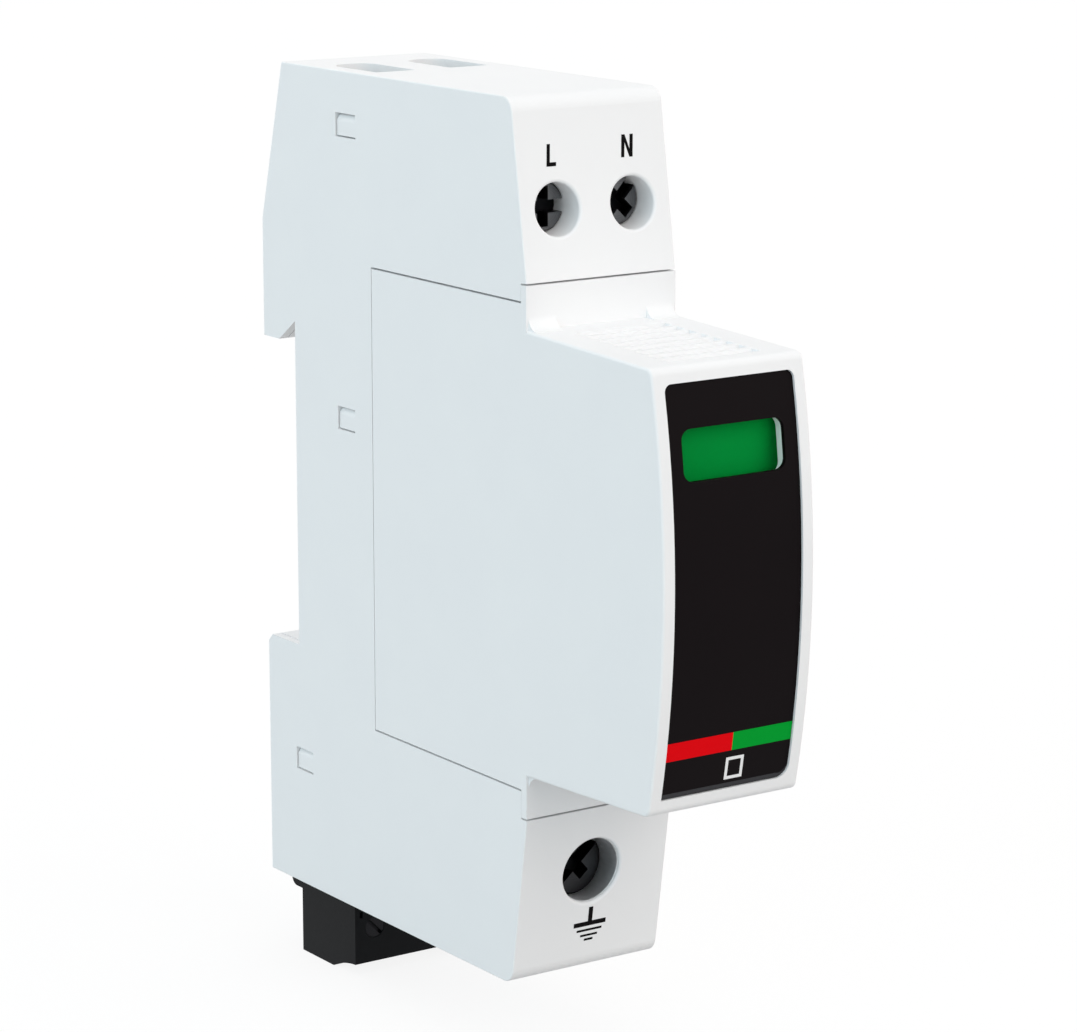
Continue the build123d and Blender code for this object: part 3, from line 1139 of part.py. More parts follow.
def fault_plate():
    """Red field behind the flag, held on the hood's left wall."""
    return block((-HOOD_INNER, TRIP_ARM_X[0] - ARM_GAP), (FAULT_FRONT - FAULT_THICKNESS, FAULT_FRONT),
                 (FLAG_Z[0] - FAULT_MARGIN, FLAG_Z[1] + FAULT_MARGIN))


# ---- Sub-parts and their files ----------------------------------------------------------------------------
def sub_parts():
    parts = {
        "base_housing": base_housing(),
        "base_cover": base_cover(),
        "line_busbar": busbar(LINE, UPPER_TONGUE_END, UPPER_STEP, MAINS_BLADE_Z - JAW_WIDTH / 2),
        "neutral_busbar": busbar(NEUTRAL, UPPER_TONGUE_END, UPPER_STEP, MAINS_BLADE_Z - JAW_WIDTH / 2),
        "earth_busbar": busbar(EARTH, LOWER_TONGUE_END, LOWER_STEP, EARTH_BLADE_Z + JAW_WIDTH / 2),
        "line_jaw": jaw(LINE_X, MAINS_BLADE_Z),
        "neutral_jaw": jaw(NEUTRAL_X, MAINS_BLADE_Z),
        "earth_jaw": jaw(EARTH_X, EARTH_BLADE_Z),
        "line_screw": terminal_screw(LINE, LINE_SLOT_ANGLE),
        "neutral_screw": terminal_screw(NEUTRAL, NEUTRAL_SLOT_ANGLE),
        "earth_screw": terminal_screw(EARTH, EARTH_SLOT_ANGLE),
        "line_clamp": terminal_clamp(LINE),
        "neutral_clamp": terminal_clamp(NEUTRAL),
        "earth_clamp": terminal_clamp(EARTH),
        "rail_latch": rail_latch(),
        "latch_spring": spring(0, SPRING_AXIS_DEPTH, SHELF_TOP, SPRING_LENGTH, SPRING_TURNS),
        "signal_switch": signal_switch(),
        "switch_button": switch_button(),
        "signal_leads": signal_leads(),
        "signal_header": signal_header(),
        "header_pins": header_pins(),
        "signal_plug": signal_plug(),
        "plug_contacts": plug_contacts(),
        "module_hood": module_hood(),
        "module_carrier": module_carrier(),
        "label_plate": label_plate(),
        "window_lens": window_lens(),
        "status_slider": status_slider(),
        "fault_plate": fault_plate(),
        "trip_spring": spring(TRIP_ARM_X[1] - SPRING_RADIUS, TRIP_SPRING_DEPTH, ARM_HIGH,
                              TRIP_SPRING_TOP - ARM_HIGH, SPRING_TURNS),
        "varistor": varistor(),
        "gas_tube": gas_tube(),
        "line_blade": line_blade(),
        "neutral_blade": neutral_blade(),
        "earth_blade": earth_blade(),
        "disconnect_tongue": disconnect_tongue(),
    }
    for number, x in enumerate(POLES, start=1):
        parts[f"plug_screw_{number}"] = plug_screw(x)
        parts[f"plug_clamp_{number}"] = plug_clamp(x)
    return parts


os.makedirs("parts", exist_ok=True)
for name, shape in sub_parts().items():
    export_step(shape, f"parts/{name}.step")
    print(name, len(shape.solids()), round(shape.volume, 2))
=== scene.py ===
from math import cos, pi, radians, sin

import bmesh
import bpy
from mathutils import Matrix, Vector
from mathutils.bvhtree import BVHTree


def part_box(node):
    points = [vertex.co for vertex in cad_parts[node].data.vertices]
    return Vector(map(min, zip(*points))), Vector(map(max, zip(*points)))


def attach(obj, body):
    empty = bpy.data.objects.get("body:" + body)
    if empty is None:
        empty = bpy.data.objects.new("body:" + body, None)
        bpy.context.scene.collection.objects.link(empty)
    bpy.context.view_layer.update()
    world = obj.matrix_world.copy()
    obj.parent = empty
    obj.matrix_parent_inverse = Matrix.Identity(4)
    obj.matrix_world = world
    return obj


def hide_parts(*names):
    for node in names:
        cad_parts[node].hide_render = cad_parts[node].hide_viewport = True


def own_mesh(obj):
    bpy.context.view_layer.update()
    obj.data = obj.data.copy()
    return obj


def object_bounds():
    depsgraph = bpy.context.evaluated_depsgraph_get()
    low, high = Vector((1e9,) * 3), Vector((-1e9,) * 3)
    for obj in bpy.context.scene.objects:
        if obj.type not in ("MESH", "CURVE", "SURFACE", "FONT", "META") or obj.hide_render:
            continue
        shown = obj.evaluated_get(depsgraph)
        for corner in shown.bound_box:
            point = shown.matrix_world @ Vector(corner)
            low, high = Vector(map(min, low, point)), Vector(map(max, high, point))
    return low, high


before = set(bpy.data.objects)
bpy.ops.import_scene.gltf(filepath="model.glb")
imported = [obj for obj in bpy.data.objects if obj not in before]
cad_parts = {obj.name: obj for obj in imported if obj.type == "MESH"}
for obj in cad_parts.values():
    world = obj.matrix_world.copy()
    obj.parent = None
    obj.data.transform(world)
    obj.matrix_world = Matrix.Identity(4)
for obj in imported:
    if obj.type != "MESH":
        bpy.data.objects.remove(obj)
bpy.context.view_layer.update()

MM = 0.001


# ---- Base housing ------------------------------------------------------------------------------
# The body that snaps on the rail: one moulding with the terminal blocks, the module's bay and the
# screw holes. It is white glass-filled polyamide from a spark-eroded mould.
def linear(code):
    """sRGB hex colour as linear RGBA."""
    parts = [int(code[i:i + 2], 16) / 255 for i in (0, 2, 4)]
    return [c / 12.92 if c <= 0.04045 else ((c + 0.055) / 1.055) ** 2.4 for c in parts] + [1.0]


def add_node(material, kind, settings=None, values=None, links=None):
    """Adds one node: its settings, its own socket values and the sockets that feed it."""
    node = material.node_tree.nodes.new(kind)
    for name, value in (settings or {}).items():
        setattr(node, name, value)
    for name, value in (values or {}).items():
        node.inputs[name].default_value = value
    for name, source in (links or {}).items():
        material.node_tree.links.new(source, node.inputs[name])
    return node


def surface(name, **sockets):
    """A material with one Principled shader, and the place of a surface point on the piece."""
    material = bpy.data.materials.new(name)
    material.use_nodes = True
    material.node_tree.nodes.clear()
    shader = add_node(material, "ShaderNodeBsdfPrincipled",
                      values={key.replace("_", " "): value for key, value in sockets.items()})
    add_node(material, "ShaderNodeOutputMaterial", links={"Surface": shader.outputs["BSDF"]})
    return material, shader, add_node(material, "ShaderNodeTexCoord").outputs["Object"]


def feed(material, shader, **sources):
    """Links texture results to the shader's sockets."""
    for key, source in sources.items():
        material.node_tree.links.new(source, shader.inputs[key.replace("_", " ")])


def dress(material, *names):
    """Gives CAD nodes their finish."""
    for name in names:
        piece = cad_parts[name]
        piece.data.materials.clear()
        piece.data.materials.append(material)


CLOUD_SIZE = 9 * MM
RELIEF_DEPTH = 0.01 * MM
PLASTIC_SPREAD = 0.05


def moulded_plastic(name, light, dark, roughness, grain_mm, **sockets):
    """Moulded plastic: the mould's eroded grain breaks up the highlights, and the filler leaves
    faint lighter and darker clouds in the colour."""
    material, shader, place = surface(name, **sockets)
    clouds = add_node(material, "ShaderNodeTexNoise",
                      values={"Scale": 1 / CLOUD_SIZE, "Detail": 3.0}, links={"Vector": place})
    tint = add_node(material, "ShaderNodeMix", {"data_type": "RGBA"},
                    {6: linear(light), 7: linear(dark)}, {0: clouds.outputs["Fac"]})
    grain = add_node(material, "ShaderNodeTexNoise",
                     values={"Scale": 1 / (grain_mm * MM), "Detail": 2.0}, links={"Vector": place})
    gloss = add_node(material, "ShaderNodeMapRange",
                     values={"To Min": roughness - PLASTIC_SPREAD,
                             "To Max": roughness + PLASTIC_SPREAD},
                     links={"Value": grain.outputs["Fac"]})
    relief = add_node(material, "ShaderNodeBump",
                      values={"Strength": 0.2, "Distance": RELIEF_DEPTH},
                      links={"Height": grain.outputs["Fac"]})
    feed(material, shader, Base_Color=tint.outputs[2], Roughness=gloss.outputs["Result"],
         Normal=relief.outputs["Normal"])
    return material


# Polyamide: a neutral white, dull satin.
white_polyamide = moulded_plastic("moulded_white_polyamide", "F3F3F3", "EFEFF0", 0.5, 0.3,
                                  IOR=1.53, Specular_IOR_Level=0.35)
dress(white_polyamide, "base_housing")


# ---- Terminal marks ----------------------------------------------------------------------------
# The letters L and N over the two upper screws and the earth sign under the lower one. They are
# pad-printed in black ink, a film a few hundredths thick that follows the face.
WELL_IN_FRONT = -200 * MM


def front_of(node):
    """Finds where a line along the depth meets a CAD node from the front."""
    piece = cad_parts[node]
    tree = BVHTree.FromPolygons([v.co for v in piece.data.vertices],
                                [tuple(p.vertices) for p in piece.data.polygons])
    return lambda x, z: tree.ray_cast(Vector((x, WELL_IN_FRONT, z)), Vector((0, 1, 0)))[0]


INK_PROUD = 0.02 * MM
INK_FILM = 0.03 * MM
WELD = 0.001 * MM


def printed(name, outlines, face, body, material, slices=1):
    """Ink film over flat outlines, given as (x, z) in millimetres, laid on a face. Outlines that
    share a side become one film."""
    mesh = bmesh.new()
    for outline in outlines:
        mesh.faces.new([mesh.verts.new((x * MM, 0, z * MM)) for x, z in outline])
    bmesh.ops.remove_doubles(mesh, verts=mesh.verts[:], dist=WELD)
    heights = [v.co.z for v in mesh.verts]
    for cut in range(1, slices):
        z = min(heights) + (max(heights) - min(heights)) * cut / slices
        bmesh.ops.bisect_plane(mesh, geom=mesh.verts[:] + mesh.edges[:] + mesh.faces[:],
                               plane_co=(0, 0, z), plane_no=(0, 0, 1))
    for vert in mesh.verts:
        vert.co.y = face(vert.co.x, vert.co.z).y - INK_PROUD
    rear = {vert: mesh.verts.new(vert.co + Vector((0, INK_FILM, 0))) for vert in mesh.verts[:]}
    rims = [edge.verts for edge in mesh.edges if edge.is_boundary]
    for top in mesh.faces[:]:
        mesh.faces.new([rear[vert] for vert in reversed(top.verts)])
    for first, second in rims:
        mesh.faces.new([first, second, rear[second], rear[first]])
    bmesh.ops.recalc_face_normals(mesh, faces=mesh.faces[:])
    data = bpy.data.meshes.new(name)
    mesh.to_mesh(data)
    mesh.free()
    data.materials.append(material)
    film = bpy.data.objects.new(name, data)
    bpy.context.scene.collection.objects.link(film)
    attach(film, body)
    return film


def bar(x_low, x_high, z_low, z_high):
    """Outline of an upright rectangle."""
    return [(x_low, z_low), (x_high, z_low), (x_high, z_high), (x_low, z_high)]


def slanted(outline, lean):
    """Outline of a slightly italic letter: its top moves right by a share of its height."""
    foot = min(z for x, z in outline)
    return [(x + lean * (z - foot), z) for x, z in outline]


INK_PATCH = 0.4 * MM


def printing_ink(name, thick, thin):
    """Printing ink: thin and matt, a little patchy where it covers the grain."""
    material, shader, place = surface(name, Roughness=0.6, Specular_IOR_Level=0.04)
    patches = add_node(material, "ShaderNodeTexNoise", values={"Scale": 1 / INK_PATCH},
                       links={"Vector": place})
    tint = add_node(material, "ShaderNodeMix", {"data_type": "RGBA"},
                    {6: linear(thick), 7: linear(thin)}, {0: patches.outputs["Fac"]})
    feed(material, shader, Base_Color=tint.outputs[2])
    return material


# Pad ink: a dead black with hardly any shine.
black_ink = printing_ink("black_pad_ink", "060506", "100D0E")
base_front = front_of("base_housing")
LETTER_STROKE = 0.38
LETTER_LEAN = 0.11
L_LEFT, L_RIGHT, L_LOW, L_HIGH = -5.46, -4.34, 38.1, 40.25
l_stem, l_foot = L_LEFT + LETTER_STROKE, L_LOW + LETTER_STROKE
letter_l = [(L_LEFT, L_LOW), (L_RIGHT, L_LOW), (L_RIGHT, l_foot), (l_stem, l_foot),
            (l_stem, L_HIGH), (L_LEFT, L_HIGH)]
N_LEFT, N_RIGHT, N_LOW, N_HIGH = 3.5, 4.88, 38.4, 40.6
N_SLANT = 0.75
inner_left, inner_right = N_LEFT + LETTER_STROKE, N_RIGHT - LETTER_STROKE
letter_n = [(N_LEFT, N_LOW), (inner_left, N_LOW), (inner_left, N_HIGH - N_SLANT),
            (inner_right, N_LOW), (N_RIGHT, N_LOW), (N_RIGHT, N_HIGH), (inner_right, N_HIGH),
            (inner_right, N_LOW + N_SLANT), (inner_left, N_HIGH), (N_LEFT, N_HIGH)]
printed("line_mark", [slanted(letter_l, LETTER_LEAN)], base_front, "base", black_ink)
printed("neutral_mark", [slanted(letter_n, LETTER_LEAN)], base_front, "base", black_ink)

# The earth sign's strokes, each with its width, foot and head, centred on one line.
SIGN_X = 0.15
sign_strokes = [(0.52, -39.72, -38.15), (3.97, -40.22, -39.72), (3.1, -40.8, -40.56),
                (2.1, -41.38, -41.15), (1.08, -41.87, -41.63)]
earth_sign = [bar(SIGN_X - width / 2, SIGN_X + width / 2, foot, head)
              for width, foot, head in sign_strokes]
printed("earth_mark", earth_sign, base_front, "base", black_ink)


# ---- Base cover --------------------------------------------------------------------------------
# The left side plate, which snaps over three catches of the housing and closes the base. It is
# the same polyamide from the same mould set.
dress(white_polyamide, "base_cover")


# ---- Busbars and jaws --------------------------------------------------------------------------
# Three bent copper strips carry the current from the clamps to sprung bronze forks, which grip
# the module's blades. Both are blanked from rolled strip and left bare.
ROLLED_SPREAD = 0.08


def rolled_metal(name, light, dark, roughness, line_mm, squeeze):
    """Rolled or drawn metal: fine lines along the working direction, which stretch its
    highlights. squeeze is small along the lines."""
    material, shader, place = surface(name, Metallic=1.0)
    lines = add_node(material, "ShaderNodeMapping", values={"Scale": squeeze},
                     links={"Vector": place})
    streaks = add_node(material, "ShaderNodeTexNoise",
                       values={"Scale": 1 / (line_mm * MM), "Detail": 3.0},
                       links={"Vector": lines.outputs["Vector"]})
    tint = add_node(material, "ShaderNodeMix", {"data_type": "RGBA"},
                    {6: linear(light), 7: linear(dark)}, {0: streaks.outputs["Fac"]})
    gloss = add_node(material, "ShaderNodeMapRange",
                     values={"To Min": roughness - ROLLED_SPREAD,
                             "To Max": roughness + ROLLED_SPREAD},
                     links={"Value": streaks.outputs["Fac"]})
    relief = add_node(material, "ShaderNodeBump",
                      values={"Strength": 0.15, "Distance": RELIEF_DEPTH},
                      links={"Height": streaks.outputs["Fac"]})
    feed(material, shader, Base_Color=tint.outputs[2], Roughness=gloss.outputs["Result"],
         Normal=relief.outputs["Normal"])
    return material


ALONG_Z = (1, 1, 0.05)
ALONG_Y = (1, 0.05, 1)
EVEN = (1, 1, 1)

# Copper: warm pink with a satin sheen. Bronze: a duller gold.
bare_copper = rolled_metal("bare_rolled_copper", "D08A63", "B06F4C", 0.32, 0.15, ALONG_Z)
spring_bronze = rolled_metal("rolled_spring_bronze", "C79A5E", "A87E48", 0.34, 0.15, ALONG_Z)
dress(bare_copper, "line_busbar", "neutral_busbar", "earth_busbar")
dress(spring_bronze, "line_jaw", "neutral_jaw", "earth_jaw")


# ---- Terminal screws and clamps ----------------------------------------------------------------
# Cheese-head screws with a combined recess draw folded steel cages up to the busbars' tongues. The
# screws are zinc plated and dark passivated, the cages clear. The earth screw's hole has a thin
# steel sleeve, pressed in, that guides the screwdriver.
def head_centre(node):
    """Axis of a screw, from the box of its head, in millimetres."""
    near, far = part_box(node)
    return (near.x + far.x) / 2 / MM, (near.z + far.z) / 2 / MM


RECESS_PAINTED_SHADE = "1E1E20"
RING_SPACING = 0.12 * MM
TURNED_SPREAD = 0.06


def turned_steel(name, light, dark, screws, roughness, face, floor):
    """Turned and plated steel: rings round each screw's own axis, left by the facing tool. Along
    the depth, from face to floor, the colour is painted almost black: painted shade in the recess."""
    material, shader, place = surface(name, Metallic=1.0)
    parts = add_node(material, "ShaderNodeSeparateXYZ", links={"Vector": place})
    nearest = None
    for x, z in [head_centre(screw) for screw in screws]:
        off_x = add_node(material, "ShaderNodeMath", {"operation": "SUBTRACT"}, {1: x * MM},
                         {0: parts.outputs["X"]})
        off_z = add_node(material, "ShaderNodeMath", {"operation": "SUBTRACT"}, {1: z * MM},
                         {0: parts.outputs["Z"]})
        flat = add_node(material, "ShaderNodeCombineXYZ",
                        links={"X": off_x.outputs[0], "Y": off_z.outputs[0]})
        radius = add_node(material, "ShaderNodeVectorMath", {"operation": "LENGTH"},
                          links={0: flat.outputs[0]}).outputs["Value"]
        if nearest is None:
            nearest = radius
        else:
            nearest = add_node(material, "ShaderNodeMath", {"operation": "MINIMUM"},
                               links={0: nearest, 1: radius}).outputs[0]
    rings = add_node(material, "ShaderNodeTexNoise", {"noise_dimensions": "1D"},
                     {"Scale": 1 / RING_SPACING, "Detail": 2.0}, {"W": nearest})
    tint = add_node(material, "ShaderNodeMix", {"data_type": "RGBA"},
                    {6: linear(light), 7: linear(dark)}, {0: rings.outputs["Fac"]})
    # Painted shade: the deeper a point lies, from face to floor, the nearer its colour goes to
    # black.
    shade_depth = add_node(material, "ShaderNodeMapRange",
                    values={"From Min": face * MM, "From Max": floor * MM},
                    links={"Value": parts.outputs["Y"]})
    painted_shade = add_node(material, "ShaderNodeMix", {"data_type": "RGBA"}, {7: linear(RECESS_PAINTED_SHADE)},
                        {0: shade_depth.outputs["Result"], 6: tint.outputs[2]})
    gloss = add_node(material, "ShaderNodeMapRange",
                     values={"To Min": roughness - TURNED_SPREAD,
                             "To Max": roughness + TURNED_SPREAD},
                     links={"Value": rings.outputs["Fac"]})
    relief = add_node(material, "ShaderNodeBump",
                      values={"Strength": 0.2, "Distance": RELIEF_DEPTH},
                      links={"Height": rings.outputs["Fac"]})
    feed(material, shader, Base_Color=painted_shade.outputs[2], Roughness=gloss.outputs["Result"],
         Normal=relief.outputs["Normal"])
    return material


# Dark passivated zinc: a charcoal metal, dull where the facing tool left its rings. The earth
# screw's head lies further back than the others, so painted shade darkens its face.
TERMINAL_SCREWS = ("line_screw", "neutral_screw", "earth_screw")
HEAD_FACE, RECESS_FLOOR = -39.9, -39.2
plated_screw = turned_steel("dark_zinc_plated_turned_steel", "6C6D6F", "58595B", TERMINAL_SCREWS,
                            0.38, HEAD_FACE, RECESS_FLOOR)
dress(plated_screw, *TERMINAL_SCREWS)

# Clear zinc on sheet: a pale silver grey with the mill's lines.
plated_sheet = rolled_metal("zinc_plated_steel_sheet", "B9BBBD", "9C9EA1", 0.36, 0.2, ALONG_Z)
dress(plated_sheet, "line_clamp", "neutral_clamp", "earth_clamp")

# The sleeve is drawn tube with a rolled lip. Its bright bore mirrors the screw's dark head.
SLEEVE_CLEAR = 0.03
SLEEVE_WALL = 0.05
SLEEVE_OVERLAP = 0.3
SLEEVE_SHORT = 0.42
SLEEVE_LIP = 0.1
LIP_BEND = 0.03
SLEEVE_SIDES = 96
sleeve_x, sleeve_z = head_centre("earth_screw")
head_low, head_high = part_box("earth_screw")
head_radius = (head_high.x - head_low.x) / 2 / MM

# Two points of the slanted face, past the hole's edges, in radii of the screw's head.
POINT_ABOVE, POINT_BELOW = 2.0, 1.4
above = base_front(0, (sleeve_z + POINT_ABOVE * head_radius) * MM)
below = base_front(0, (sleeve_z - POINT_BELOW * head_radius) * MM)


def face_over_hole(z):
    """Place along y of the slanted face where the hole cuts it."""
    share = (z * MM - below.z) / (above.z - below.z)
    return below.y + share * (above.y - below.y)


# Each ring's radius, and how far inward of the tube's front it lies. None is the rear end.
bore = head_radius + SLEEVE_CLEAR
sleeve_rings = [(bore, None), (bore, SLEEVE_LIP), (bore + SLEEVE_WALL / 3, LIP_BEND),
                (bore + SLEEVE_WALL, 0.0), (bore + SLEEVE_WALL, None)]
sleeve_rear = head_low.y + SLEEVE_OVERLAP * MM
sleeve_mesh = bmesh.new()
rings = []
for radius, inward in sleeve_rings:
    ring = []
    for side in range(SLEEVE_SIDES):
        angle = 2 * pi * side / SLEEVE_SIDES
        x, z = sleeve_x + radius * cos(angle), sleeve_z + radius * sin(angle)
        y = sleeve_rear if inward is None else face_over_hole(z) + (SLEEVE_SHORT + inward) * MM
        ring.append(sleeve_mesh.verts.new((x * MM, y, z * MM)))
    rings.append(ring)
for first, second in zip(rings, rings[1:] + rings[:1]):
    for side in range(SLEEVE_SIDES):
        after = (side + 1) % SLEEVE_SIDES
        sleeve_mesh.faces.new([first[side], first[after], second[after], second[side]])
bmesh.ops.recalc_face_normals(sleeve_mesh, faces=sleeve_mesh.faces[:])
for face in sleeve_mesh.faces:
    face.smooth = True
sleeve_data = bpy.data.meshes.new("earth_sleeve")
sleeve_mesh.to_mesh(sleeve_data)
sleeve_mesh.free()
drawn_tube = rolled_metal("drawn_bright_steel_tube", "EEEFF0", "DFE0E2", 0.56, 0.3, ALONG_Y)
sleeve_data.materials.append(drawn_tube)
earth_sleeve = bpy.data.objects.new("earth_sleeve", sleeve_data)
bpy.context.scene.collection.objects.link(earth_sleeve)
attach(earth_sleeve, "base")


# ---- Rail latch --------------------------------------------------------------------------------
# A grey moulded slide bites under the rail's lower edge; a small compression spring of drawn wire
# returns it, and its tab below the body takes a screwdriver.

# Grey polyamide: as dull as the base, a little darker. Spring wire: bright, with the die's marks.
grey_latch = moulded_plastic("moulded_grey_polyamide", "D3D7D9", "CBD0D2", 0.5, 0.3,
                             IOR=1.53, Specular_IOR_Level=0.35)
drawn_wire = rolled_metal("drawn_spring_wire", "A8A9AA", "87898B", 0.3, 0.1, EVEN)
dress(grey_latch, "rail_latch")

# The latch's spring: a copy of its mesh in the spring wire, held by the body, in place of the CAD
# node.
latch_coil = bpy.data.objects.new("latch_coil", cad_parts["latch_spring"].data.copy())
latch_coil.data.materials.clear()
latch_coil.data.materials.append(drawn_wire)
bpy.context.scene.collection.objects.link(latch_coil)
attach(latch_coil, "base")
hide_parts("latch_spring")
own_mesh(latch_coil)


# ---- Signalling switch and header --------------------------------------------------------------
# A snap-action switch behind the bay floor, three wires and a socket shroud in the underside, with
# square tinned pins. The cases are black thermoplastic, the wires grey vinyl.

# Polyester: a dull black. Acetal: a waxy red. Vinyl: smoother, with long soft highlights. Tin: a
# warm pale grey.
black_case = moulded_plastic("moulded_black_polyester", "161617", "0F0F10", 0.5, 0.25,
                             Specular_IOR_Level=0.25)
red_button = moulded_plastic("moulded_red_acetal", "C4221A", "B81E17", 0.4, 0.3,
                             Specular_IOR_Level=0.3)
vinyl_sheath = moulded_plastic("extruded_grey_vinyl", "3A3B3E", "323336", 0.45, 0.5,
                               Specular_IOR_Level=0.3)
tinned_metal = rolled_metal("tinned_brass", "D2D0CB", "B8B6B1", 0.3, 0.15, ALONG_Z)
dress(black_case, "signal_switch", "signal_header")
dress(red_button, "switch_button")
dress(vinyl_sheath, "signal_leads")
dress(tinned_metal, "header_pins")


# ---- Signalling plug ---------------------------------------------------------------------------
# The pull-off screw terminal for the signalling wires. It is black polyamide, moulded with a fine
# grain, and holds three small plated cages with slotted screws, and tinned contacts.

# Black polyamide: almost no shine. Black-plated screws: a little lighter, with faint rings.
black_polyamide = moulded_plastic("moulded_black_polyamide", "131416", "0F1012", 0.5, 0.25,
                                  IOR=1.53, Specular_IOR_Level=0.08)
PLUG_SCREWS = ("plug_screw_1", "plug_screw_2", "plug_screw_3")
# Painted shade: from the heads' faces back to the slots' floors the screws are painted near black.
PLUG_HEAD_FACE, PLUG_SLOT_FLOOR = -8.55, -8.3
dark_screw = turned_steel("black_plated_turned_steel", "2A2A2C", "202022", PLUG_SCREWS,
                          0.42, PLUG_HEAD_FACE, PLUG_SLOT_FLOOR)
dress(black_polyamide, "signal_plug")
dress(dark_screw, *PLUG_SCREWS)
dress(plated_sheet, "plug_clamp_1", "plug_clamp_2", "plug_clamp_3")
dress(tinned_metal, "plug_contacts")


# ---- Module hood and carrier -------------------------------------------------------------------
# The pull-out cartridge's shell: a one-piece hood with the grip ribs and the label's pocket, and a
# rear plate that carries the blades. Both are moulded from the base's white polyamide.
dress(white_polyamide, "module_hood", "module_carrier")


# ---- Label -------------------------------------------------------------------------------------
# A thin black plate lies in the hood's pocket, curved as the nose is. A red and a green field and
# a plain white frame are printed on it.

# The plate: a warm black, satin, that hardly mirrors the lamps.
black_plate = moulded_plastic("printed_black_plate", "110B0D", "0D080A", 0.45, 0.35,
                              Specular_IOR_Level=0.05)
dress(black_plate, "label_plate")
label_front = front_of("label_plate")
label_low, label_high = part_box("label_plate")
EDGE = 0.03
band_left, band_right = label_low.x / MM + EDGE, label_high.x / MM - EDGE
BAND_SPLIT = 0.4
BAND_LOW, BAND_HIGH = -16.25, -14.4
BAND_SLICES = 4

# Label inks: clear signal colours, matt, laid on a white ground, so they stay bright.
red_ink = printing_ink("red_label_ink", "E60510", "E10511")
green_ink = printing_ink("green_label_ink", "009F32", "009A30")
white_ink = printing_ink("white_label_ink", "F4F4F4", "ECECEC")
red_field = printed("red_field", [bar(band_left, BAND_SPLIT, BAND_LOW, BAND_HIGH)],
                    label_front, "module", red_ink, BAND_SLICES)
green_field = printed("green_field", [bar(BAND_SPLIT, band_right, BAND_LOW, BAND_HIGH)],
                      label_front, "module", green_ink, BAND_SLICES)
FRAME_LEFT, FRAME_RIGHT, FRAME_LOW, FRAME_HIGH = -0.13, 2.02, -19.25, -16.95
FRAME_LINE = 0.32
outer = bar(FRAME_LEFT, FRAME_RIGHT, FRAME_LOW, FRAME_HIGH)
inner = bar(FRAME_LEFT + FRAME_LINE, FRAME_RIGHT - FRAME_LINE,
            FRAME_LOW + FRAME_LINE, FRAME_HIGH - FRAME_LINE)
frame_sides = [[outer[k - 1], outer[k], inner[k], inner[k - 1]] for k in range(4)]
printed("white_frame", frame_sides, label_front, "module", white_ink)

# A dark grey strip along the plate's lower edge and lower right corner is a painted highlight, the
# light that the edge's bevel catches. Its strip narrows to nothing round the corner.
EDGE_HIGHLIGHT_WIDTH = 0.46
CORNER = 1.36
CORNER_STEPS = 10
edge_low = label_low.z / MM + EDGE
corner_x, corner_z = band_right - CORNER, edge_low + CORNER
outer_edge = []
inner_edge = []
for step in range(CORNER_STEPS + 1):
    turn = -pi / 2 + pi / 2 * step / CORNER_STEPS
    reach = CORNER - EDGE_HIGHLIGHT_WIDTH * (1 - step / CORNER_STEPS)
    outer_edge.append((corner_x + CORNER * cos(turn), corner_z + CORNER * sin(turn)))
    inner_edge.append((corner_x + reach * cos(turn), corner_z + reach * sin(turn)))
highlight_strip = [bar(band_left, corner_x, edge_low, edge_low + EDGE_HIGHLIGHT_WIDTH)]
for step in range(CORNER_STEPS - 1):
    highlight_strip.append([outer_edge[step], outer_edge[step + 1],
                       inner_edge[step + 1], inner_edge[step]])
highlight_strip.append([outer_edge[-2], outer_edge[-1], inner_edge[-2]])
# Painted highlight: a lighter grey laid along the lower edge, where the bevel catches light.
edge_highlight_ink = printing_ink("painted_edge_highlight", "414144", "3C3C3E")
printed("plate_edge_highlight", highlight_strip, label_front, "module", edge_highlight_ink)


# ---- Window and status flag --------------------------------------------------------------------
# A clear pane closes the window from inside. Behind it slides the green flag, and behind that lies
# the red field that shows once the flag has dropped.

# Acrylic: clear and polished, with a trace of haze that varies over a few millimetres.
PANE_HAZE = 3 * MM
clear_pane, shader, place = surface("clear_moulded_acrylic", Base_Color=linear("3F3F3F"),
                                    IOR=1.49, Alpha=0.01)
haze = add_node(clear_pane, "ShaderNodeTexNoise", values={"Scale": 1 / PANE_HAZE},
                links={"Vector": place})
gloss = add_node(clear_pane, "ShaderNodeMapRange", values={"To Min": 0.03, "To Max": 0.08},
                 links={"Value": haze.outputs["Fac"]})
feed(clear_pane, shader, Roughness=gloss.outputs["Result"])
dress(clear_pane, "window_lens")

# Flag and field: deep, even colours without a shine of their own.
green_flag = moulded_plastic("moulded_green_acetal", "009B3E", "00943B", 0.45, 0.3,
                             Specular_IOR_Level=0.01)
red_plate = moulded_plastic("moulded_red_polyester", "D8061A", "CE0618", 0.45, 0.3,
                            Specular_IOR_Level=0.1)
dress(green_flag, "status_slider")
dress(red_plate, "fault_plate")

# The flag's spring is wound from the latch spring's wire.
dress(drawn_wire, "trip_spring")


# ---- Varistor, discharge tube and blades -------------------------------------------------------
# The parts that carry the surge: a coated zinc-oxide disc, a ceramic tube with metal caps, tinned
# blades, and a sprung bronze leaf soldered to the disc.

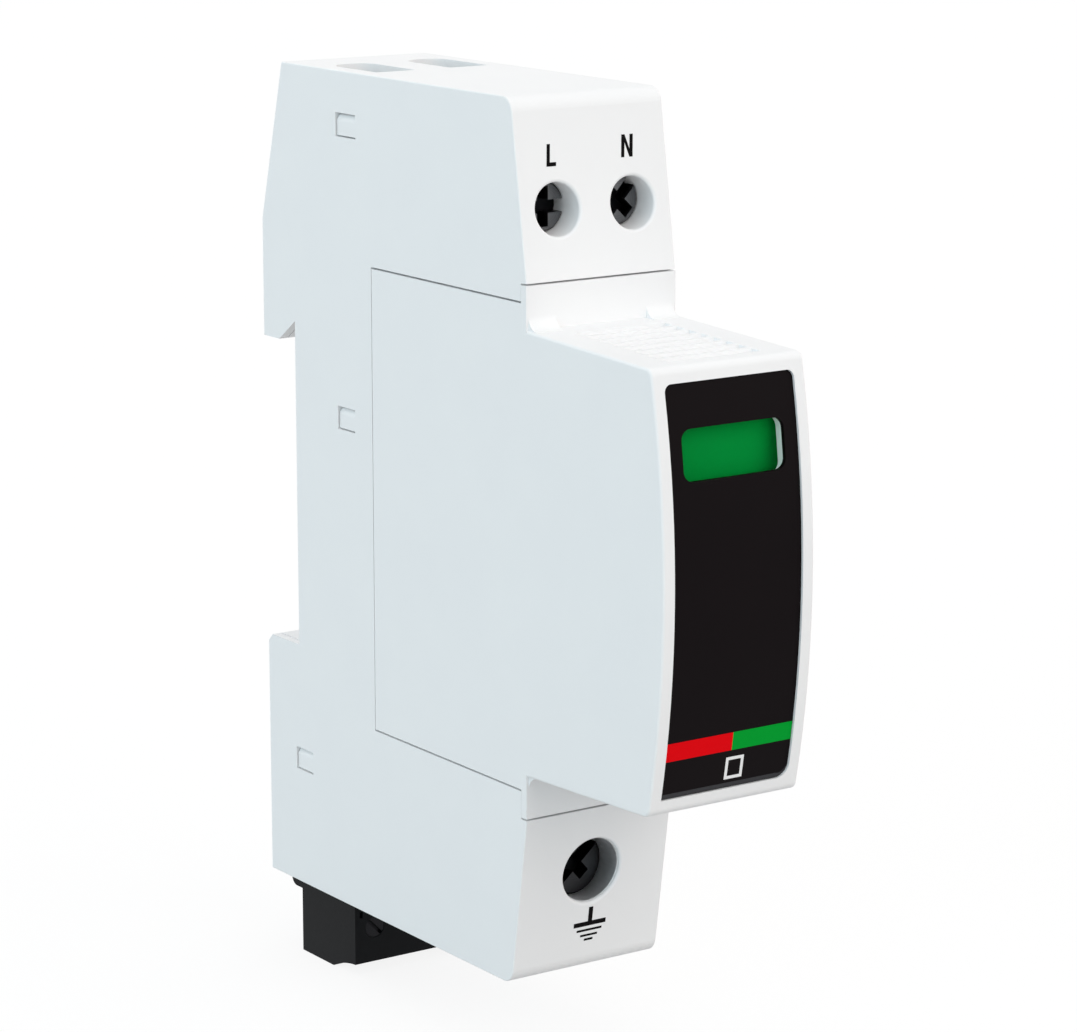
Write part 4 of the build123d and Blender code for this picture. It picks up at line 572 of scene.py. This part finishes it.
# Dipped epoxy: a glossy blue with slow waves. Fired ceramic: a chalky warm white. Tinned blades:
# pale, with lines along the depth.
epoxy_coat = moulded_plastic("dipped_blue_epoxy", "1C3F7C", "183770", 0.3, 2.5,
                             Specular_IOR_Level=0.5, Coat_Weight=0.3, Coat_Roughness=0.15)
tinned_blade = rolled_metal("tinned_copper_blade", "D6D3CC", "BEBBB4", 0.28, 0.2, ALONG_Y)
white_ceramic = moulded_plastic("fired_white_ceramic", "EDEBE4", "E6E3DB", 0.6, 0.4)
dress(epoxy_coat, "varistor")
dress(tinned_blade, "line_blade", "neutral_blade", "earth_blade")
dress(white_ceramic, "gas_tube")
dress(spring_bronze, "disconnect_tongue")


# ---- Floor, lamps and camera -------------------------------------------------------------------
# A plain pale floor that keeps a soft shadow, large soft lamps, and the camera a little above the
# object's middle, left of its front. The floor goes down with the plug, so it never cuts it.
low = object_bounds()[0]


def seen_directly(material):
    """1 where the camera, a reflection or a clear piece looks at a surface, 0 for its light."""
    ray = add_node(material, "ShaderNodeLightPath")
    mirrored = add_node(material, "ShaderNodeMath", {"operation": "MAXIMUM"},
                        links={0: ray.outputs["Is Camera Ray"], 1: ray.outputs["Is Glossy Ray"]})
    seen = add_node(material, "ShaderNodeMath", {"operation": "MAXIMUM"},
                    links={0: mirrored.outputs[0], 1: ray.outputs["Is Transmission Ray"]})
    return seen.outputs[0]


FLOOR_HALF = 3.0
FLOOR_GAP = 0.02 * MM
floor_z = low.z - FLOOR_GAP
floor_mesh = bpy.data.meshes.new("floor")
floor_mesh.from_pydata([(-FLOOR_HALF, -FLOOR_HALF, floor_z), (FLOOR_HALF, -FLOOR_HALF, floor_z),
                        (FLOOR_HALF, FLOOR_HALF, floor_z), (-FLOOR_HALF, FLOOR_HALF, floor_z)], [],
                       [(0, 1, 2, 3)])
floor = bpy.data.objects.new("floor", floor_mesh)
bpy.context.scene.collection.objects.link(floor)
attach(floor, "plug")

# The floor sends back light as pale grey board does. Seen directly it is white, with a weak shadow.
BOARD_LIT = 0.5
BOARD_SEEN = 0.12
BOARD_GLOW = 0.88
floor_board = bpy.data.materials.new("pale_board")
floor_board.use_nodes = True
floor_board.node_tree.nodes.clear()
direct = seen_directly(floor_board)
shade = add_node(floor_board, "ShaderNodeMapRange",
                 values={"To Min": BOARD_LIT, "To Max": BOARD_SEEN}, links={"Value": direct})
glow = add_node(floor_board, "ShaderNodeMath", {"operation": "MULTIPLY"}, {1: BOARD_GLOW},
                {0: direct})
matt = add_node(floor_board, "ShaderNodeBsdfDiffuse", links={"Color": shade.outputs["Result"]})
light = add_node(floor_board, "ShaderNodeEmission", links={"Strength": glow.outputs[0]})
both = add_node(floor_board, "ShaderNodeAddShader", links={0: matt.outputs[0], 1: light.outputs[0]})
add_node(floor_board, "ShaderNodeOutputMaterial", links={"Surface": both.outputs[0]})
floor_mesh.materials.append(floor_board)

# The room: soft white light from all round, pure white where it is seen.
SKY_LIT = 0.68
SKY_SEEN = 1.0
world = bpy.data.worlds.new("studio")
bpy.context.scene.world = world
world.use_nodes = True
world.node_tree.nodes.clear()
level = add_node(world, "ShaderNodeMapRange", values={"To Min": SKY_LIT, "To Max": SKY_SEEN},
                 links={"Value": seen_directly(world)})
sky = add_node(world, "ShaderNodeBackground", values={"Color": linear("FFFFFF")},
               links={"Strength": level.outputs["Result"]})
add_node(world, "ShaderNodeOutputWorld", links={"Surface": sky.outputs[0]})


def soft_lamp(name, towards, strength, colour, spread):
    """A far, broad lamp that shines along a direction."""
    lamp = bpy.data.lights.new(name, "SUN")
    lamp.energy = strength
    lamp.color = linear(colour)[:3]
    lamp.angle = radians(spread)
    holder = bpy.data.objects.new(name, lamp)
    holder.rotation_mode = "QUATERNION"
    holder.rotation_quaternion = Vector(towards).to_track_quat("-Z", "Y")
    bpy.context.scene.collection.objects.link(holder)


soft_lamp("front_lamp", (-0.25, 1.0, -0.55), 0.84, "FFF5EE", 50)
soft_lamp("top_lamp", (0.0, 0.1, -1.0), 0.3, "FFFFFF", 60)
soft_lamp("left_lamp", (1.0, 0.25, -0.15), 1.23, "C9F1FF", 60)
soft_lamp("right_lamp", (-1.0, 0.05, -0.05), 0.8, "FFFFFF", 60)
soft_lamp("rear_lamp", (0.1, -1.0, -0.05), 0.8, "FFFFFF", 60)

camera = bpy.data.objects.new("camera", bpy.data.cameras.new("camera"))
camera.location = (-213.66 * MM, -342.93 * MM, 83.25 * MM)
camera.rotation_euler = (radians(77.69), 0, radians(-34.56))
camera.data.sensor_width = 36
camera.data.lens = 126.42
camera.data.clip_start = 0.01
camera.data.clip_end = 20
bpy.context.scene.collection.objects.link(camera)
bpy.context.scene.camera = camera
bpy.context.scene.view_settings.view_transform = "Standard"
